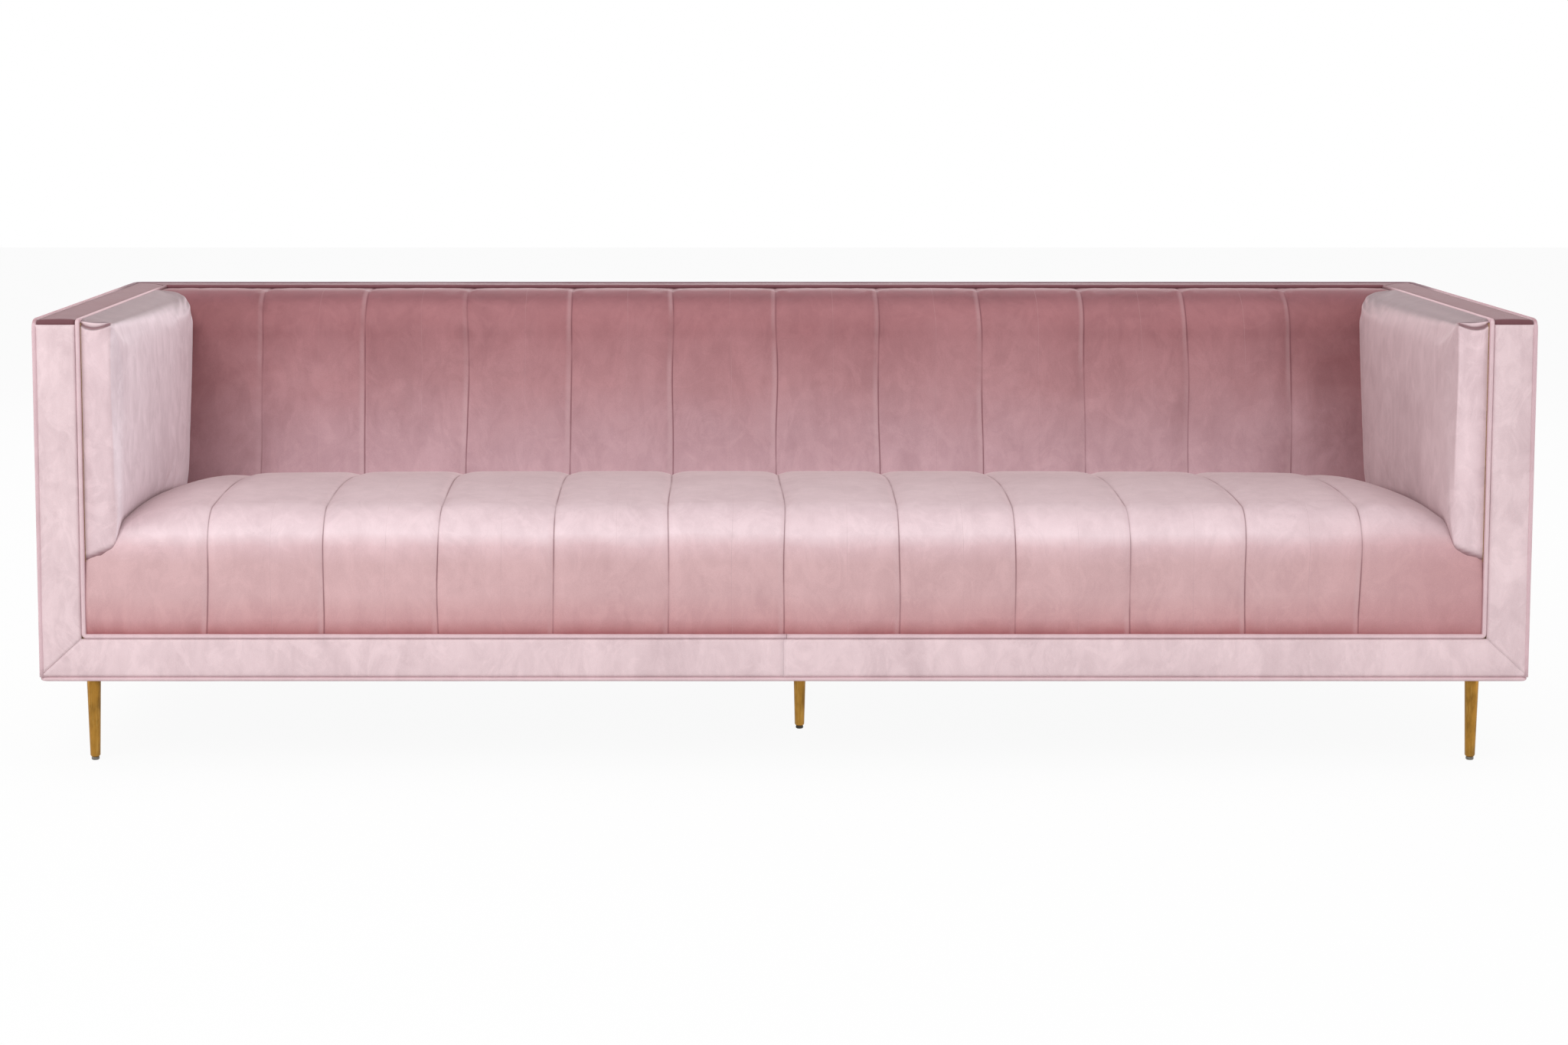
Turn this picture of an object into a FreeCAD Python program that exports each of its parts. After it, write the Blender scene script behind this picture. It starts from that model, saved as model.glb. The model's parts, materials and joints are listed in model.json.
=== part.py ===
"""Tuxedo sofa: timber frame, sprung tight seat, channel-stitched seat and back, tapered brass legs.

Millimetres, +X to the right as seen from the front, +Y to the back, +Z up.
The origin is on the floor under the middle of the sofa.
"""
import FreeCAD, Part
import math
import os

V = FreeCAD.Vector
TURN_STYLES = ("plain", "mitred", "rounded")

# Overall sizes, over the welts and the crown of the arm covers
overall_width = 2440.0
overall_depth = 840.0
overall_height = 740.0
base_clearance = 147.0

# Welts (covered piping cords), how far the cloth faces lie behind them, and how far the welts
# stand proud of the straight edges of the arm covers
welt_radius = 4.0
bottom_welt_radius = 3.5
face_setback = 2.0
side_welt_proud = 1.0

# Outer skins
cloth = 2.0
band_padding = 4.0
board = 3.0
arm_crown = 8.0
dust_cover_cloth = 1.5
dust_cover_gap = 1.0

# Frame timber
timber = 28.0
post_depth = 45.0
top_frame_width = 76.0
base_band_height = 63.0
spring_rail_top = 297.0
stretcher_height = 60.0
stretcher_spacing = 570.0
block_size = 90.0
block_height = 40.0
tack_rail_height = 45.0
arm_tack_rail_bottom = 300.0

# Springs, webbing and seat platform
spring_wire = 3.5
spring_width = 48.0
spring_half_loops = 11
clip_length = 24.0
clip_width = 14.0
clip_sheet = 2.0
felt = 5.0
strap_width = 70.0
strap_thickness = 2.5

# Channels: twelve on the seat and twelve on the back, in line with each other; the end ones are wider
channel_count = 12
end_channel_extra = 10.0
quilt = 16.0
seam_thickness = 5.0

# Seat, side view: distances behind the front faces or ahead of the back face, heights above the floor
# and drops below the crown
seat_front_tuck = 8.0
seat_front_bulge_height = 295.0
seat_crown_back = 250.0
seat_crown_height = 437.0
seat_roll_start_drop = 71.0
seat_roll_mid_back = 13.0
seat_roll_mid_drop = 26.0
seat_roll_end_back = 54.0
seat_roll_end_drop = 8.0
seat_rear_ahead = 156.0
seat_rear_drop = 39.0
seat_end_drop = 44.0
seat_end_step_in = 6.0

# Back pad, side view: distances ahead of the back face, height of the foot, drops below the top
back_foot_ahead = 265.0
back_foot_height = 400.0
back_lean_ahead = 218.0
back_lean_drop = 85.0
back_roll_mid_ahead = 202.0
back_roll_mid_drop = 38.0
back_roll_end_ahead = 152.0
back_roll_end_drop = 6.0
back_web_foot_ahead = 146.0

# Arm pads
arm_pad_front = 46.0
arm_pad_rear = 67.0
arm_pad_radius = 30.0
arm_pad_setback = 10.0
arm_pad_nose = 8.0
arm_pad_cover = 3.0
arm_pad_top_drop = 5.0
arm_pad_bottom = 312.0
fit_gap = 0.3

# Legs
leg_inset_x = 80.0
leg_inset_y = 75.0
center_leg_x = 35.0
center_leg_back = 304.0
leg_top_radius = 11.8
leg_bottom_radius = 8.2
glide_radius = 7.2
glide_height = 5.0
leg_flats = 24
plate_size = 60.0
plate_thickness = 3.0
plate_corner = 6.0
bolt_radius = 4.0
bolt_in_leg = 25.0
bolt_in_block = 32.0
bolt_flat_count = 8
screw_radius = 2.0
screw_flat_count = 6
screw_head_radius = 4.0
screw_head_height = 2.0
screw_length = 26.0
screw_pitch = 44.0

# Planes worked out from the sizes above
side_face = overall_width / 2 - arm_crown
front_face = -overall_depth / 2 + face_setback
back_face = overall_depth / 2 - face_setback
top_face = overall_height - face_setback
base_bottom = base_clearance + 2 * bottom_welt_radius
band = cloth + band_padding
post_outer = side_face - cloth - board
frame_front = front_face + band
frame_back = back_face - cloth - board
frame_top = top_face - band
outer_welt_x = side_face + side_welt_proud - welt_radius
outer_welt_y = overall_depth / 2 - welt_radius
top_welt_z = overall_height - welt_radius
inner_welt_x = side_face + side_welt_proud - top_frame_width + welt_radius - face_setback
inner_x = inner_welt_x - welt_radius
inner_welt_back_y = back_face - top_frame_width - face_setback
inner_back_y = inner_welt_back_y - welt_radius
base_band_top = base_bottom + base_band_height
inner_welt_z = base_band_top + welt_radius
seat_bottom = base_band_top + 2 * welt_radius
post_inner = inner_x + board
top_frame_front_y = inner_back_y + board
border_rail_back = frame_front + timber
spring_rail_back = border_rail_back + timber
back_rail_front = frame_back - timber
side_rail_inner = post_outer - timber
front_post_back = frame_front + post_depth
rear_post_front = frame_back - post_depth
top_rail_bottom = frame_top - timber
dust_cover_bottom = base_bottom - dust_cover_cloth
plate_bottom = base_bottom - plate_thickness
deck_bottom = spring_rail_top + spring_wire
deck_top = deck_bottom + felt
leg_x = overall_width / 2 - leg_inset_x
leg_y = overall_depth / 2 - leg_inset_y
channel_pitch = 2 * (inner_x - end_channel_extra) / channel_count
seat_roll_start_height = seat_crown_height - seat_roll_start_drop
seat_roll_mid_height = seat_crown_height - seat_roll_mid_drop
seat_roll_end_height = seat_crown_height - seat_roll_end_drop
seat_rear_height = seat_crown_height - seat_rear_drop
back_lean_height = overall_height - back_lean_drop
back_roll_mid_height = overall_height - back_roll_mid_drop
back_roll_end_height = overall_height - back_roll_end_drop
back_web_head_height = top_rail_bottom

parts = {}


def box(x0, x1, y0, y1, z0, z1):
    return Part.makeBox(x1 - x0, y1 - y0, z1 - z0, V(x0, y0, z0))


def mirrored(shape):
    return shape.mirror(V(0, 0, 0), V(1, 0, 0))


def flat_face(points, place):
    """A planar face from (u, v) points, put in space by place(u, v)."""
    corners = [place(u, v) for u, v in points]
    return Part.Face(Part.makePolygon(corners + corners[:1]))


def side_prism(points, x0, x1):
    """Extrudes a (y, z) outline from x0 to x1."""
    return flat_face(points, lambda y, z: V(x0, y, z)).extrude(V(x1 - x0, 0, 0))


def front_prism(points, y0, y1):
    """Extrudes an (x, z) outline from y0 to y1."""
    return flat_face(points, lambda x, z: V(x, y0, z)).extrude(V(0, y1 - y0, 0))


def plan_prism(points, z0, z1):
    """Extrudes an (x, y) outline from z0 to z1."""
    return flat_face(points, lambda x, y: V(x, y, z0)).extrude(V(0, 0, z1 - z0))


def side_wire(pieces, x):
    """A closed wire at x from line and arc pieces given as lists of two or three (y, z) points."""
    edges = []
    for piece in pieces:
        ends = [V(x, y, z) for y, z in piece]
        if len(ends) == 2:
            edges.append(Part.makeLine(ends[0], ends[1]))
        else:
            edges.append(Part.Arc(ends[0], ends[1], ends[2]).toShape())
    return Part.Wire(edges)


def loft(wires):
    """A solid with straight runs from each wire to the next."""
    return Part.makeLoft(wires, True, True)


def group(shapes):
    return Part.makeCompound(shapes)


def piping(points, radius):
    """A round welt along straight runs with mitred turns, butt-joined where it comes back to its start."""
    along = points[1] - points[0]
    circle = Part.Wire(Part.makeCircle(radius, points[0], along))
    return Part.makePolygon(points).makePipeShell([circle], True, False,
                                                  TURN_STYLES.index("mitred"))


def bar(radius, height, base, flats):
    """An upright bar of a few flats, for fixings that are hidden once fitted."""
    turn = 2 * math.pi / flats
    outline = [(base.x + radius * math.cos(i * turn), base.y + radius * math.sin(i * turn))
               for i in range(flats)]
    return plan_prism(outline, base.z, base.z + height)


# The seams between channels from left to right, and with them the sides of the end channels
seam_x = [(i - channel_count / 2) * channel_pitch for i in range(1, channel_count)]
channel_edges = [-inner_x] + seam_x + [inner_x]


def behind(distance):
    """The Y of a point given by its distance behind the front faces."""
    return front_face + distance


def ahead(distance):
    """The Y of a point given by its distance ahead of the back face."""
    return back_face - distance


def offset_arc(start, middle, end, inset):
    """An arc through three points, brought inwards towards its centre by inset."""
    curve = Part.Arc(V(0, *start), V(0, *middle), V(0, *end)).toShape().Curve
    centre = curve.Center

    def pull(point):
        ray = V(0, *point) - centre
        moved = centre + ray * ((ray.Length - inset) / ray.Length)
        return (moved.y, moved.z)

    return [pull(start), pull(middle), pull(end)]


def seat_outline(inset, drop):
    """The seat surface from the base welt over the front roll to behind the back pad.

    inset is the depth below the crown of the channels. drop lowers the top towards the arms.
    """
    step = seat_end_step_in * drop / seat_end_drop
    foot = (behind(seat_front_tuck), seat_bottom)
    bulge = (behind(-1.0) + step / 2, seat_front_bulge_height - drop / 3)
    shoulder = (behind(0) + step, seat_roll_start_height - drop)
    roll = (behind(seat_roll_mid_back) + step, seat_roll_mid_height - drop)
    brow = (behind(seat_roll_end_back), seat_roll_end_height - drop)
    crown = (behind(seat_crown_back), seat_crown_height - drop * 0.85)
    rear = (ahead(seat_rear_ahead), seat_rear_height - drop * 0.35)
    front = offset_arc(foot, bulge, shoulder, inset)
    over = offset_arc(shoulder, roll, brow, inset)
    top = offset_arc(brow, crown, rear, inset)
    front[0] = (foot[0] + inset, foot[1])
    front[2] = over[0]
    top[0] = over[2]
    top[2] = (rear[0], rear[1] - inset)
    return [front, over, top]


def seat_body_wire(x, inset, drop):
    """Section through the seat foam, which laps over the spring rail."""
    skin = seat_outline(inset, drop)
    rear = (skin[-1][-1][0], deck_top)
    notch = (border_rail_back, deck_top)
    foot = (border_rail_back, seat_bottom)
    lines = [[skin[-1][-1], rear], [rear, notch], [notch, foot], [foot, skin[0][0]]]
    return side_wire(skin + lines, x)


def inset_at(x):
    """How far the quilted face lies below its crown at x: deepest at a seam, nothing mid-channel."""
    nearest = min(abs(x - seam) for seam in seam_x)
    share = min(1.0, 2 * nearest / channel_pitch)
    return (quilt - seam_thickness) * (1 - share)


def drop_at(x):
    """How far the seat has rolled down at x, from the last seam to the arm."""
    last = seam_x[-1]
    share = max(0.0, (abs(x) - last) / (inner_x - last))
    return seat_end_drop * share ** 2


def end_stations():
    """Places between the last seam and the arm where the seat's section is drawn."""
    last = seam_x[-1]
    width = inner_x - last
    return [last + width * share for share in (0.5, 0.75, 1.0)]


def quilt_stations():
    """Places where the quilted section is drawn: each seam, each mid-channel and the ends."""
    middles = [(a + b) / 2 for a, b in zip(seam_x, seam_x[1:])]
    return sorted(seam_x + middles + end_stations() + [-x for x in end_stations()])


def seat_quilted():
    """The whole seat with its twelve pillowed channels, rolling down at both arms."""
    return loft([seat_body_wire(x, inset_at(x), drop_at(x)) for x in quilt_stations()])


def seat_block(inset):
    """The seat without channels, inset below its crown."""
    places = [seam_x[-1]] + end_stations()
    places = [-x for x in places[::-1]] + places
    return loft([seat_body_wire(x, inset, drop_at(x)) for x in places])


def back_outline(inset):
    """The back pad's face, from the seat up the rake and over the top roll to the inner welt."""
    foot = (ahead(back_foot_ahead), back_foot_height)
    lean = (ahead(back_lean_ahead), back_lean_height)
    roll = (ahead(back_roll_mid_ahead), back_roll_mid_height)
    head = (ahead(back_roll_end_ahead), back_roll_end_height)
    rake = V(0, lean[0] - foot[0], lean[1] - foot[1]).normalize()
    normal = (rake.z, -rake.y)
    arc = offset_arc(lean, roll, head, inset)
    low = (foot[0] + normal[0] * inset, foot[1] + normal[1] * inset)
    end = (inner_back_y, back_roll_end_height - inset)
    return [[low, arc[0]], arc, [arc[2], end]]


def back_body_wire(x, inset):
    """The back foam: quilted face in front, webbing plane behind."""
    skin = back_outline(inset)
    head = skin[-1][-1]
    shoulder = (inner_back_y, back_web_head_height)
    foot = (ahead(back_web_foot_ahead), back_foot_height)
    lines = [[head, shoulder], [shoulder, foot], [foot, skin[0][0]]]
    return side_wire(skin + lines, x)


def back_quilted():
    return loft([back_body_wire(x, inset_at(x)) for x in quilt_stations()])


def back_block(inset):
    return Part.Face(back_body_wire(-inner_x, inset)).extrude(V(2 * inner_x, 0, 0))


def arm_pad(inset):
    """The right-hand arm pad: thinner at the front, rounded along the top, its nose bevelled."""
    front = front_face + arm_pad_setback + inset
    rear = ahead(back_roll_end_ahead)
    front_x = inner_x - arm_pad_front + inset
    rear_x = inner_x - arm_pad_rear + inset
    top = top_face - arm_pad_top_drop - inset
    pad = plan_prism([(inner_x, front), (inner_x, rear), (rear_x, rear), (front_x, front)],
                     arm_pad_bottom, top)
    shoulder = [e for e in pad.Edges if e.BoundBox.ZMin > top - fit_gap
                and e.BoundBox.XMax < inner_x - fit_gap and e.BoundBox.YLength > (rear - front) / 2]
    pad = pad.makeFillet(arm_pad_radius - inset, shoulder)
    nose = [e for e in pad.Edges if e.BoundBox.YMax < front + fit_gap
            and e.BoundBox.XMin < inner_x - fit_gap and e.BoundBox.ZMax > arm_pad_bottom + fit_gap]
    return pad.makeChamfer(arm_pad_nose, nose)


def make_frame():
    parts["front_border_rail"] = box(-post_inner, post_inner, frame_front, border_rail_back,
                                     base_bottom, seat_bottom)
    parts["front_spring_rail"] = box(-post_inner, post_inner, border_rail_back, spring_rail_back,
                                     base_bottom, spring_rail_top)
    parts["back_spring_rail"] = box(-post_inner, post_inner, back_rail_front, frame_back,
                                    base_bottom, spring_rail_top)
    parts["back_top_rail"] = box(-post_inner, post_inner, top_frame_front_y, frame_back,
                                 top_rail_bottom, frame_top)
    for name, x in (("left", -stretcher_spacing), ("center", 0), ("right", stretcher_spacing)):
        parts["seat_stretcher_" + name] = box(x - timber / 2, x + timber / 2, spring_rail_back,
                                              back_rail_front, base_bottom,
                                              base_bottom + stretcher_height)
    both_sides("side_rail", box(side_rail_inner, post_outer, front_post_back, rear_post_front,
                                base_bottom, base_bottom + stretcher_height))
    rail_relief = box(0, post_inner, frame_front, spring_rail_back, base_bottom, spring_rail_top)
    both_sides("arm_front_post", box(post_inner, post_outer, frame_front, front_post_back,
                                     base_bottom, frame_top).cut(rail_relief))
    both_sides("arm_rear_post", box(post_inner, post_outer, rear_post_front, frame_back,
                                    base_bottom, frame_top))
    both_sides("arm_top_rail", box(post_inner, post_outer, front_post_back, rear_post_front,
                                   top_rail_bottom, frame_top))
    both_sides("arm_tack_rail", box(post_inner, post_inner + timber, front_post_back,
                                    rear_post_front, arm_tack_rail_bottom,
                                    arm_tack_rail_bottom + tack_rail_height))
    make_back_frame()
    make_leg_blocks()


def both_sides(name, right):
    parts[name + "_left"] = mirrored(right)
    parts[name + "_right"] = right


def web_y(z):
    """The back face of the back foam, where the webbing lies, at height z."""
    foot_y = ahead(back_web_foot_ahead)
    share = (z - back_foot_height) / (back_web_head_height - back_foot_height)
    return foot_y + (inner_back_y - foot_y) * share


def make_back_frame():
    """Raked ribs on the back rail, two against the posts and two on seam lines, and their tack rail."""
    low = back_foot_height
    high = low + tack_rail_height
    skin = strap_thickness
    tack_front = web_y(high) + skin
    tack_back = tack_front + timber
    parts["back_tack_rail"] = side_prism([
        (web_y(low) + skin, low), (tack_back, low), (tack_back, high), (tack_front, high),
    ], -post_inner, post_inner)
    rib = [
        (frame_back, spring_rail_top), (frame_back, top_rail_bottom),
        (web_y(top_rail_bottom) + skin, top_rail_bottom), (tack_front, high),
        (tack_back, high), (tack_back, low), (tack_back, spring_rail_top),
    ]
    beside_post = post_inner - timber / 2
    third = seam_x[channel_count // 3 - 1]
    middles = (-beside_post, third, -third, beside_post)
    parts["back_ribs"] = group([side_prism(rib, x - timber / 2, x + timber / 2) for x in middles])


def leg_places():
    """Name, X and Y of each leg."""
    places = []
    for row, y in (("front", -leg_y), ("rear", leg_y)):
        for side, x in (("left", -leg_x), ("right", leg_x)):
            places.append((row + "_" + side, x, y))
    places.append(("center", center_leg_x, behind(center_leg_back)))
    return places


def screw_places(x, y):
    half = screw_pitch / 2
    return [(x + i * half, y + j * half) for i in (-1, 1) for j in (-1, 1)]


def make_leg_blocks():
    blocks = []
    for side in (-1, 1):
        for y0 in (spring_rail_back, back_rail_front - block_size):
            x0, x1 = sorted((side * side_rail_inner, side * (side_rail_inner - block_size)))
            blocks.append(box(x0, x1, y0, y0 + block_size, base_bottom, base_bottom + block_height))
    y = behind(center_leg_back)
    blocks.append(box(timber / 2, timber / 2 + block_size, y - block_size / 2, y + block_size / 2,
                      base_bottom, base_bottom + block_height))
    parts["leg_blocks"] = group(blocks)


def bore_fixings():
    """Pilot holes for the leg bolts and plate screws, in every timber they enter."""
    holes = []
    for name, x, y in leg_places():
        holes.append(bar(bolt_radius, bolt_in_block, V(x, y, plate_bottom), bolt_flat_count))
        holes.extend(make_screw(sx, sy) for sx, sy in screw_places(x, y))
    for name in ("front_spring_rail", "back_spring_rail", "seat_stretcher_center",
                 "arm_rear_post_left", "arm_rear_post_right", "leg_blocks"):
        wood = parts[name]
        near = [h for h in holes if h.common(wood).Volume > 1]
        solids = [solid.cut(near) if near else solid for solid in wood.Solids]
        parts[name] = group(solids) if len(solids) > 1 else solids[0]


def spring_outline():
    """Zigzag of a sinuous spring in plan: the wire's two edges, from the front rail to the back."""
    start = spring_rail_back - timber / 2
    end = back_rail_front + timber / 2
    pitch = (end - start) / spring_half_loops
    reach = spring_width / 2 - spring_wire / 2
    near, far = [], []
    for i in range(spring_half_loops + 1):
        y = start + i * pitch
        side = 0 if i in (0, spring_half_loops) else (-1) ** i
        for shift in (-pitch / 4, pitch / 4):
            at = min(max(y + shift, start), end)
            near.append((side * reach - spring_wire / 2, at))
            far.append((side * reach + spring_wire / 2, at))
    return near + far[::-1]


def make_springs():
    outline = spring_outline()
    half = spring_wire / 2
    springs, clips = [], []
    for left, right in zip(channel_edges, channel_edges[1:]):
        x = (left + right) / 2
        moved = [(x + u, v) for u, v in outline]
        springs.append(plan_prism(moved, spring_rail_top, deck_bottom))
        for rail_y, inward in ((spring_rail_back, -1), (back_rail_front, 1)):
            middle = rail_y + inward * timber / 2
            arm = box(x + half, x + half + clip_sheet, middle - clip_length / 2,
                      middle + clip_length / 2, spring_rail_top, deck_bottom)
            cap = box(x - clip_width / 2, x + half + clip_sheet, middle - clip_length / 2,
                      middle + clip_length / 2, deck_bottom, deck_bottom + clip_sheet)
            clips.append(arm.fuse(cap).removeSplitter())
    parts["seat_springs"] = group(springs)
    parts["spring_clips"] = group(clips)


def make_platform():
    """Felt over the springs, from the front spring rail to under the back, and straps behind the back."""
    parts["seat_felt"] = box(-inner_x, inner_x, spring_rail_back, ahead(seat_rear_ahead),
                             deck_bottom, deck_top)
    straps = []
    low = back_foot_height
    high = back_web_head_height
    for left, right in zip(channel_edges, channel_edges[1:]):
        x = (left + right) / 2
        outline = [(web_y(low), low), (web_y(low) + strap_thickness, low),
                   (web_y(high) + strap_thickness, high), (web_y(high), high)]
        straps.append(side_prism(outline, x - strap_width / 2, x + strap_width / 2))
    parts["back_webbing"] = group(straps)


def make_upholstery():
    seat_whole = seat_block(-fit_gap)
    parts["seat_foam"] = seat_block(quilt)
    parts["seat_cover"] = seat_quilted().cut(parts["seat_foam"])
    under_back = Part.Face(seat_body_wire(-overall_width, 0, 0)).extrude(V(2 * overall_width, 0, 0))
    parts["back_cover"] = back_quilted().cut([back_block(quilt), under_back])
    parts["back_foam"] = back_block(quilt).cut(under_back)
    back_whole = back_block(-fit_gap)
    below_back = box(-overall_width, overall_width, ahead(back_foot_ahead), overall_depth,
                     0, back_foot_height + fit_gap)
    outer = arm_pad(0).cut([seat_whole, back_whole, below_back])
    inner = arm_pad(arm_pad_cover).cut([seat_whole, back_whole, below_back])
    both_sides("arm_pad_cover", outer.cut(inner))
    both_sides("arm_foam", inner)
    both_sides("inside_arm_board", box(inner_x, post_inner, frame_front, inner_back_y,
                                       arm_tack_rail_bottom, frame_top))


def make_outside():
    """Outside arm and back covers over their boards, borders of the arms, base and top."""
    middle_z = (base_bottom + top_face) / 2
    inner = side_face - cloth
    top = top_welt_z - welt_radius
    edges = [
        Part.makeLine(V(inner, frame_front, base_bottom), V(side_face, frame_front, base_bottom)),
        Part.Arc(V(side_face, frame_front, base_bottom),
                 V(side_face + arm_crown, frame_front, middle_z),
                 V(side_face, frame_front, top)).toShape(),
        Part.makeLine(V(side_face, frame_front, top), V(inner, frame_front, top)),
        Part.makeLine(V(inner, frame_front, top), V(inner, frame_front, base_bottom)),
    ]
    rear = outer_welt_y - welt_radius
    skin = Part.Face(Part.Wire(edges)).extrude(V(0, rear - frame_front, 0))
    both_sides("outside_arm_cover", skin)
    both_sides("outside_arm_board", box(post_outer, inner, frame_front, rear, base_bottom, top))
    back_half = outer_welt_x - welt_radius
    parts["outside_back_board"] = box(-back_half, back_half, frame_back, back_face - cloth,
                                      base_bottom, top)
    parts["outside_back_cover"] = box(-back_half, back_half, back_face - cloth, back_face,
                                      base_bottom, top)
    parts["dust_cover"] = dust_cover()
    make_borders()


def dust_cover():
    """Thin cloth under the frame, cut out round the leg plates."""
    edge_x = side_rail_inner + timber / 2
    edge_y = back_rail_front + timber / 2
    reach = plate_size / 2 + dust_cover_gap
    windows = [box(x - reach, x + reach, y - reach, y + reach, dust_cover_bottom, base_bottom)
               for name, x, y in leg_places()]
    return box(-edge_x, edge_x, -edge_y, edge_y, dust_cover_bottom, base_bottom).cut(windows)


def make_borders():
    """Padded borders: base and arm fronts mitred together, arm tops and back top mitred too."""
    inner = inner_welt_x + welt_radius
    outer = outer_welt_x - welt_radius
    corner = (side_face, base_bottom)
    wrap = front_border_top()
    base = front_prism([(0, base_bottom), corner, (inner, base_band_top), (0, base_band_top)],
                       front_face, frame_front)
    under_welt = box(outer, overall_width, front_face, frame_front, base_bottom, overall_height)
    both_sides("base_border", base.cut(under_welt))
    upright = front_prism([(inner, base_band_top), corner, (side_face, wrap), (inner, wrap)],
                          front_face, frame_front)
    both_sides("arm_front_border", upright.cut(under_welt))
    rear_in = inner_welt_back_y + welt_radius
    rear_out = outer_welt_y - welt_radius
    plan = plan_prism([(inner, front_face), (outer, front_face), (outer, rear_out),
                       (inner, rear_in)], 0, overall_height)
    both_sides("arm_top_border", arm_top_section(inner, outer).common(plan))
    parts["back_top_border"] = plan_prism([(-inner, rear_in), (inner, rear_in), (outer, rear_out),
                                           (-outer, rear_out)], frame_top, top_face)


def front_border_top():
    """Height of the seam where the arm-top border turns over the front edge."""
    return frame_top - face_setback


def arm_top_section(x0, x1):
    """The arm-top border in side view, turned over the front edge in a small round."""
    low = front_border_top()
    radius = top_face - low
    rear = outer_welt_y
    bend = radius * (1 - math.sqrt(0.5))
    front = V(x0, front_face, low)
    arc_end = V(x0, front_face + radius, top_face)
    arc = Part.Arc(front, V(x0, front_face + bend, top_face - bend), arc_end).toShape()
    points = [arc_end, V(x0, rear, top_face), V(x0, rear, frame_top), V(x0, frame_front, frame_top),
              V(x0, frame_front, low), front]
    lines = [Part.makeLine(p, q) for p, q in zip(points, points[1:])]
    return Part.Face(Part.Wire([arc] + lines)).extrude(V(x1 - x0, 0, 0))


def make_welts():
    iy = -outer_welt_y
    ring = [V(0, iy, inner_welt_z), V(-inner_welt_x, iy, inner_welt_z),
            V(-inner_welt_x, iy, top_welt_z), V(-inner_welt_x, inner_welt_back_y, top_welt_z),
            V(inner_welt_x, inner_welt_back_y, top_welt_z), V(inner_welt_x, iy, top_welt_z),
            V(inner_welt_x, iy, inner_welt_z), V(0, iy, inner_welt_z)]
    parts["inner_welt"] = piping(ring, welt_radius)
    ox = outer_welt_x
    oy = outer_welt_y
    hoop = [V(-ox, -oy, base_bottom), V(-ox, -oy, top_welt_z), V(-ox, oy, top_welt_z),
            V(ox, oy, top_welt_z), V(ox, -oy, top_welt_z), V(ox, -oy, base_bottom)]
    uprights = [Part.makeCylinder(welt_radius, top_welt_z - welt_radius - base_bottom,
                                  V(side * ox, oy, base_bottom)) for side in (-1, 1)]
    loop = piping(hoop, welt_radius)
    parts["outer_welt"] = group([loop] + [upright.cut(loop) for upright in uprights])
    bx = side_face + 1 - bottom_welt_radius
    by = overall_depth / 2 - bottom_welt_radius
    z = base_clearance + bottom_welt_radius
    rim = [V(0, by, z), V(-bx, by, z), V(-bx, -by, z), V(bx, -by, z), V(bx, by, z), V(0, by, z)]
    parts["bottom_welt"] = piping(rim, bottom_welt_radius)


def ring(radius, x, y, z):
    """A leg's round outline at height z, as a many-sided wire."""
    turn = 2 * math.pi / leg_flats
    return Part.makePolygon([V(x + radius * math.cos(i * turn), y + radius * math.sin(i * turn), z)
                             for i in range(leg_flats + 1)])


def make_leg(x, y):
    """A tapered leg with a bore for its bolt."""
    foot = ring(leg_bottom_radius, x, y, glide_height)
    head = ring(leg_top_radius, x, y, plate_bottom)
    bore = bar(bolt_radius, bolt_in_leg, V(x, y, plate_bottom - bolt_in_leg), bolt_flat_count)
    return loft([foot, head]).cut(bore)


def make_glide(x, y):
    """A glide on the leg's end, narrower and flat underneath."""
    return loft([ring(glide_radius, x, y, 0), ring(leg_bottom_radius, x, y, glide_height)])


def make_plate(x, y):
    """A square steel plate with clipped corners, drilled for the bolt and four screws."""
    half = plate_size / 2
    clip = half - plate_corner
    outline = [(x - half, y - clip), (x - clip, y - half), (x + clip, y - half),
               (x + half, y - clip), (x + half, y + clip), (x + clip, y + half),
               (x - clip, y + half), (x - half, y + clip)]
    plate = plan_prism(outline, plate_bottom, base_bottom)
    holes = [bar(bolt_radius, plate_thickness, V(x, y, plate_bottom), bolt_flat_count)]
    holes += [make_screw(sx, sy) for sx, sy in screw_places(x, y)]
    return plate.cut(holes)


def make_screw(x, y):
    """A round-headed wood screw up through a leg plate."""
    head_low = plate_bottom - screw_head_height
    shank = bar(screw_radius, screw_length, V(x, y, plate_bottom), screw_flat_count)
    head = bar(screw_head_radius, screw_head_height, V(x, y, head_low), screw_flat_count)
    return shank.fuse(head).removeSplitter()


def make_legs():
    plates, bolts, screws, glides = [], [], [], []
    for name, x, y in leg_places():
        parts["leg_" + name] = make_leg(x, y)
        glides.append(make_glide(x, y))
        plates.append(make_plate(x, y))
        bolts.append(bar(bolt_radius, bolt_in_leg + bolt_in_block,
                         V(x, y, plate_bottom - bolt_in_leg), bolt_flat_count))
        screws.extend(make_screw(sx, sy) for sx, sy in screw_places(x, y))
    parts["leg_glides"] = group(glides)
    parts["leg_plates"] = group(plates)
    parts["leg_bolts"] = group(bolts)
    parts["plate_screws"] = group(screws)


make_frame()
bore_fixings()
make_springs()
make_platform()
make_upholstery()
make_outside()
make_welts()
make_legs()

os.makedirs("parts", exist_ok=True)
for part_name, part_shape in parts.items():
    part_shape.exportStep("parts/" + part_name + ".step")
print(len(parts), "nodes")
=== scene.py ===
"""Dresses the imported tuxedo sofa: brushed velvet panels, piping, brass legs, floor, light and camera."""
import json
import math

import bmesh
import bpy
import numpy as np
from bpy.props import FloatProperty, FloatVectorProperty, PointerProperty
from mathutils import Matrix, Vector, noise


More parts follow.
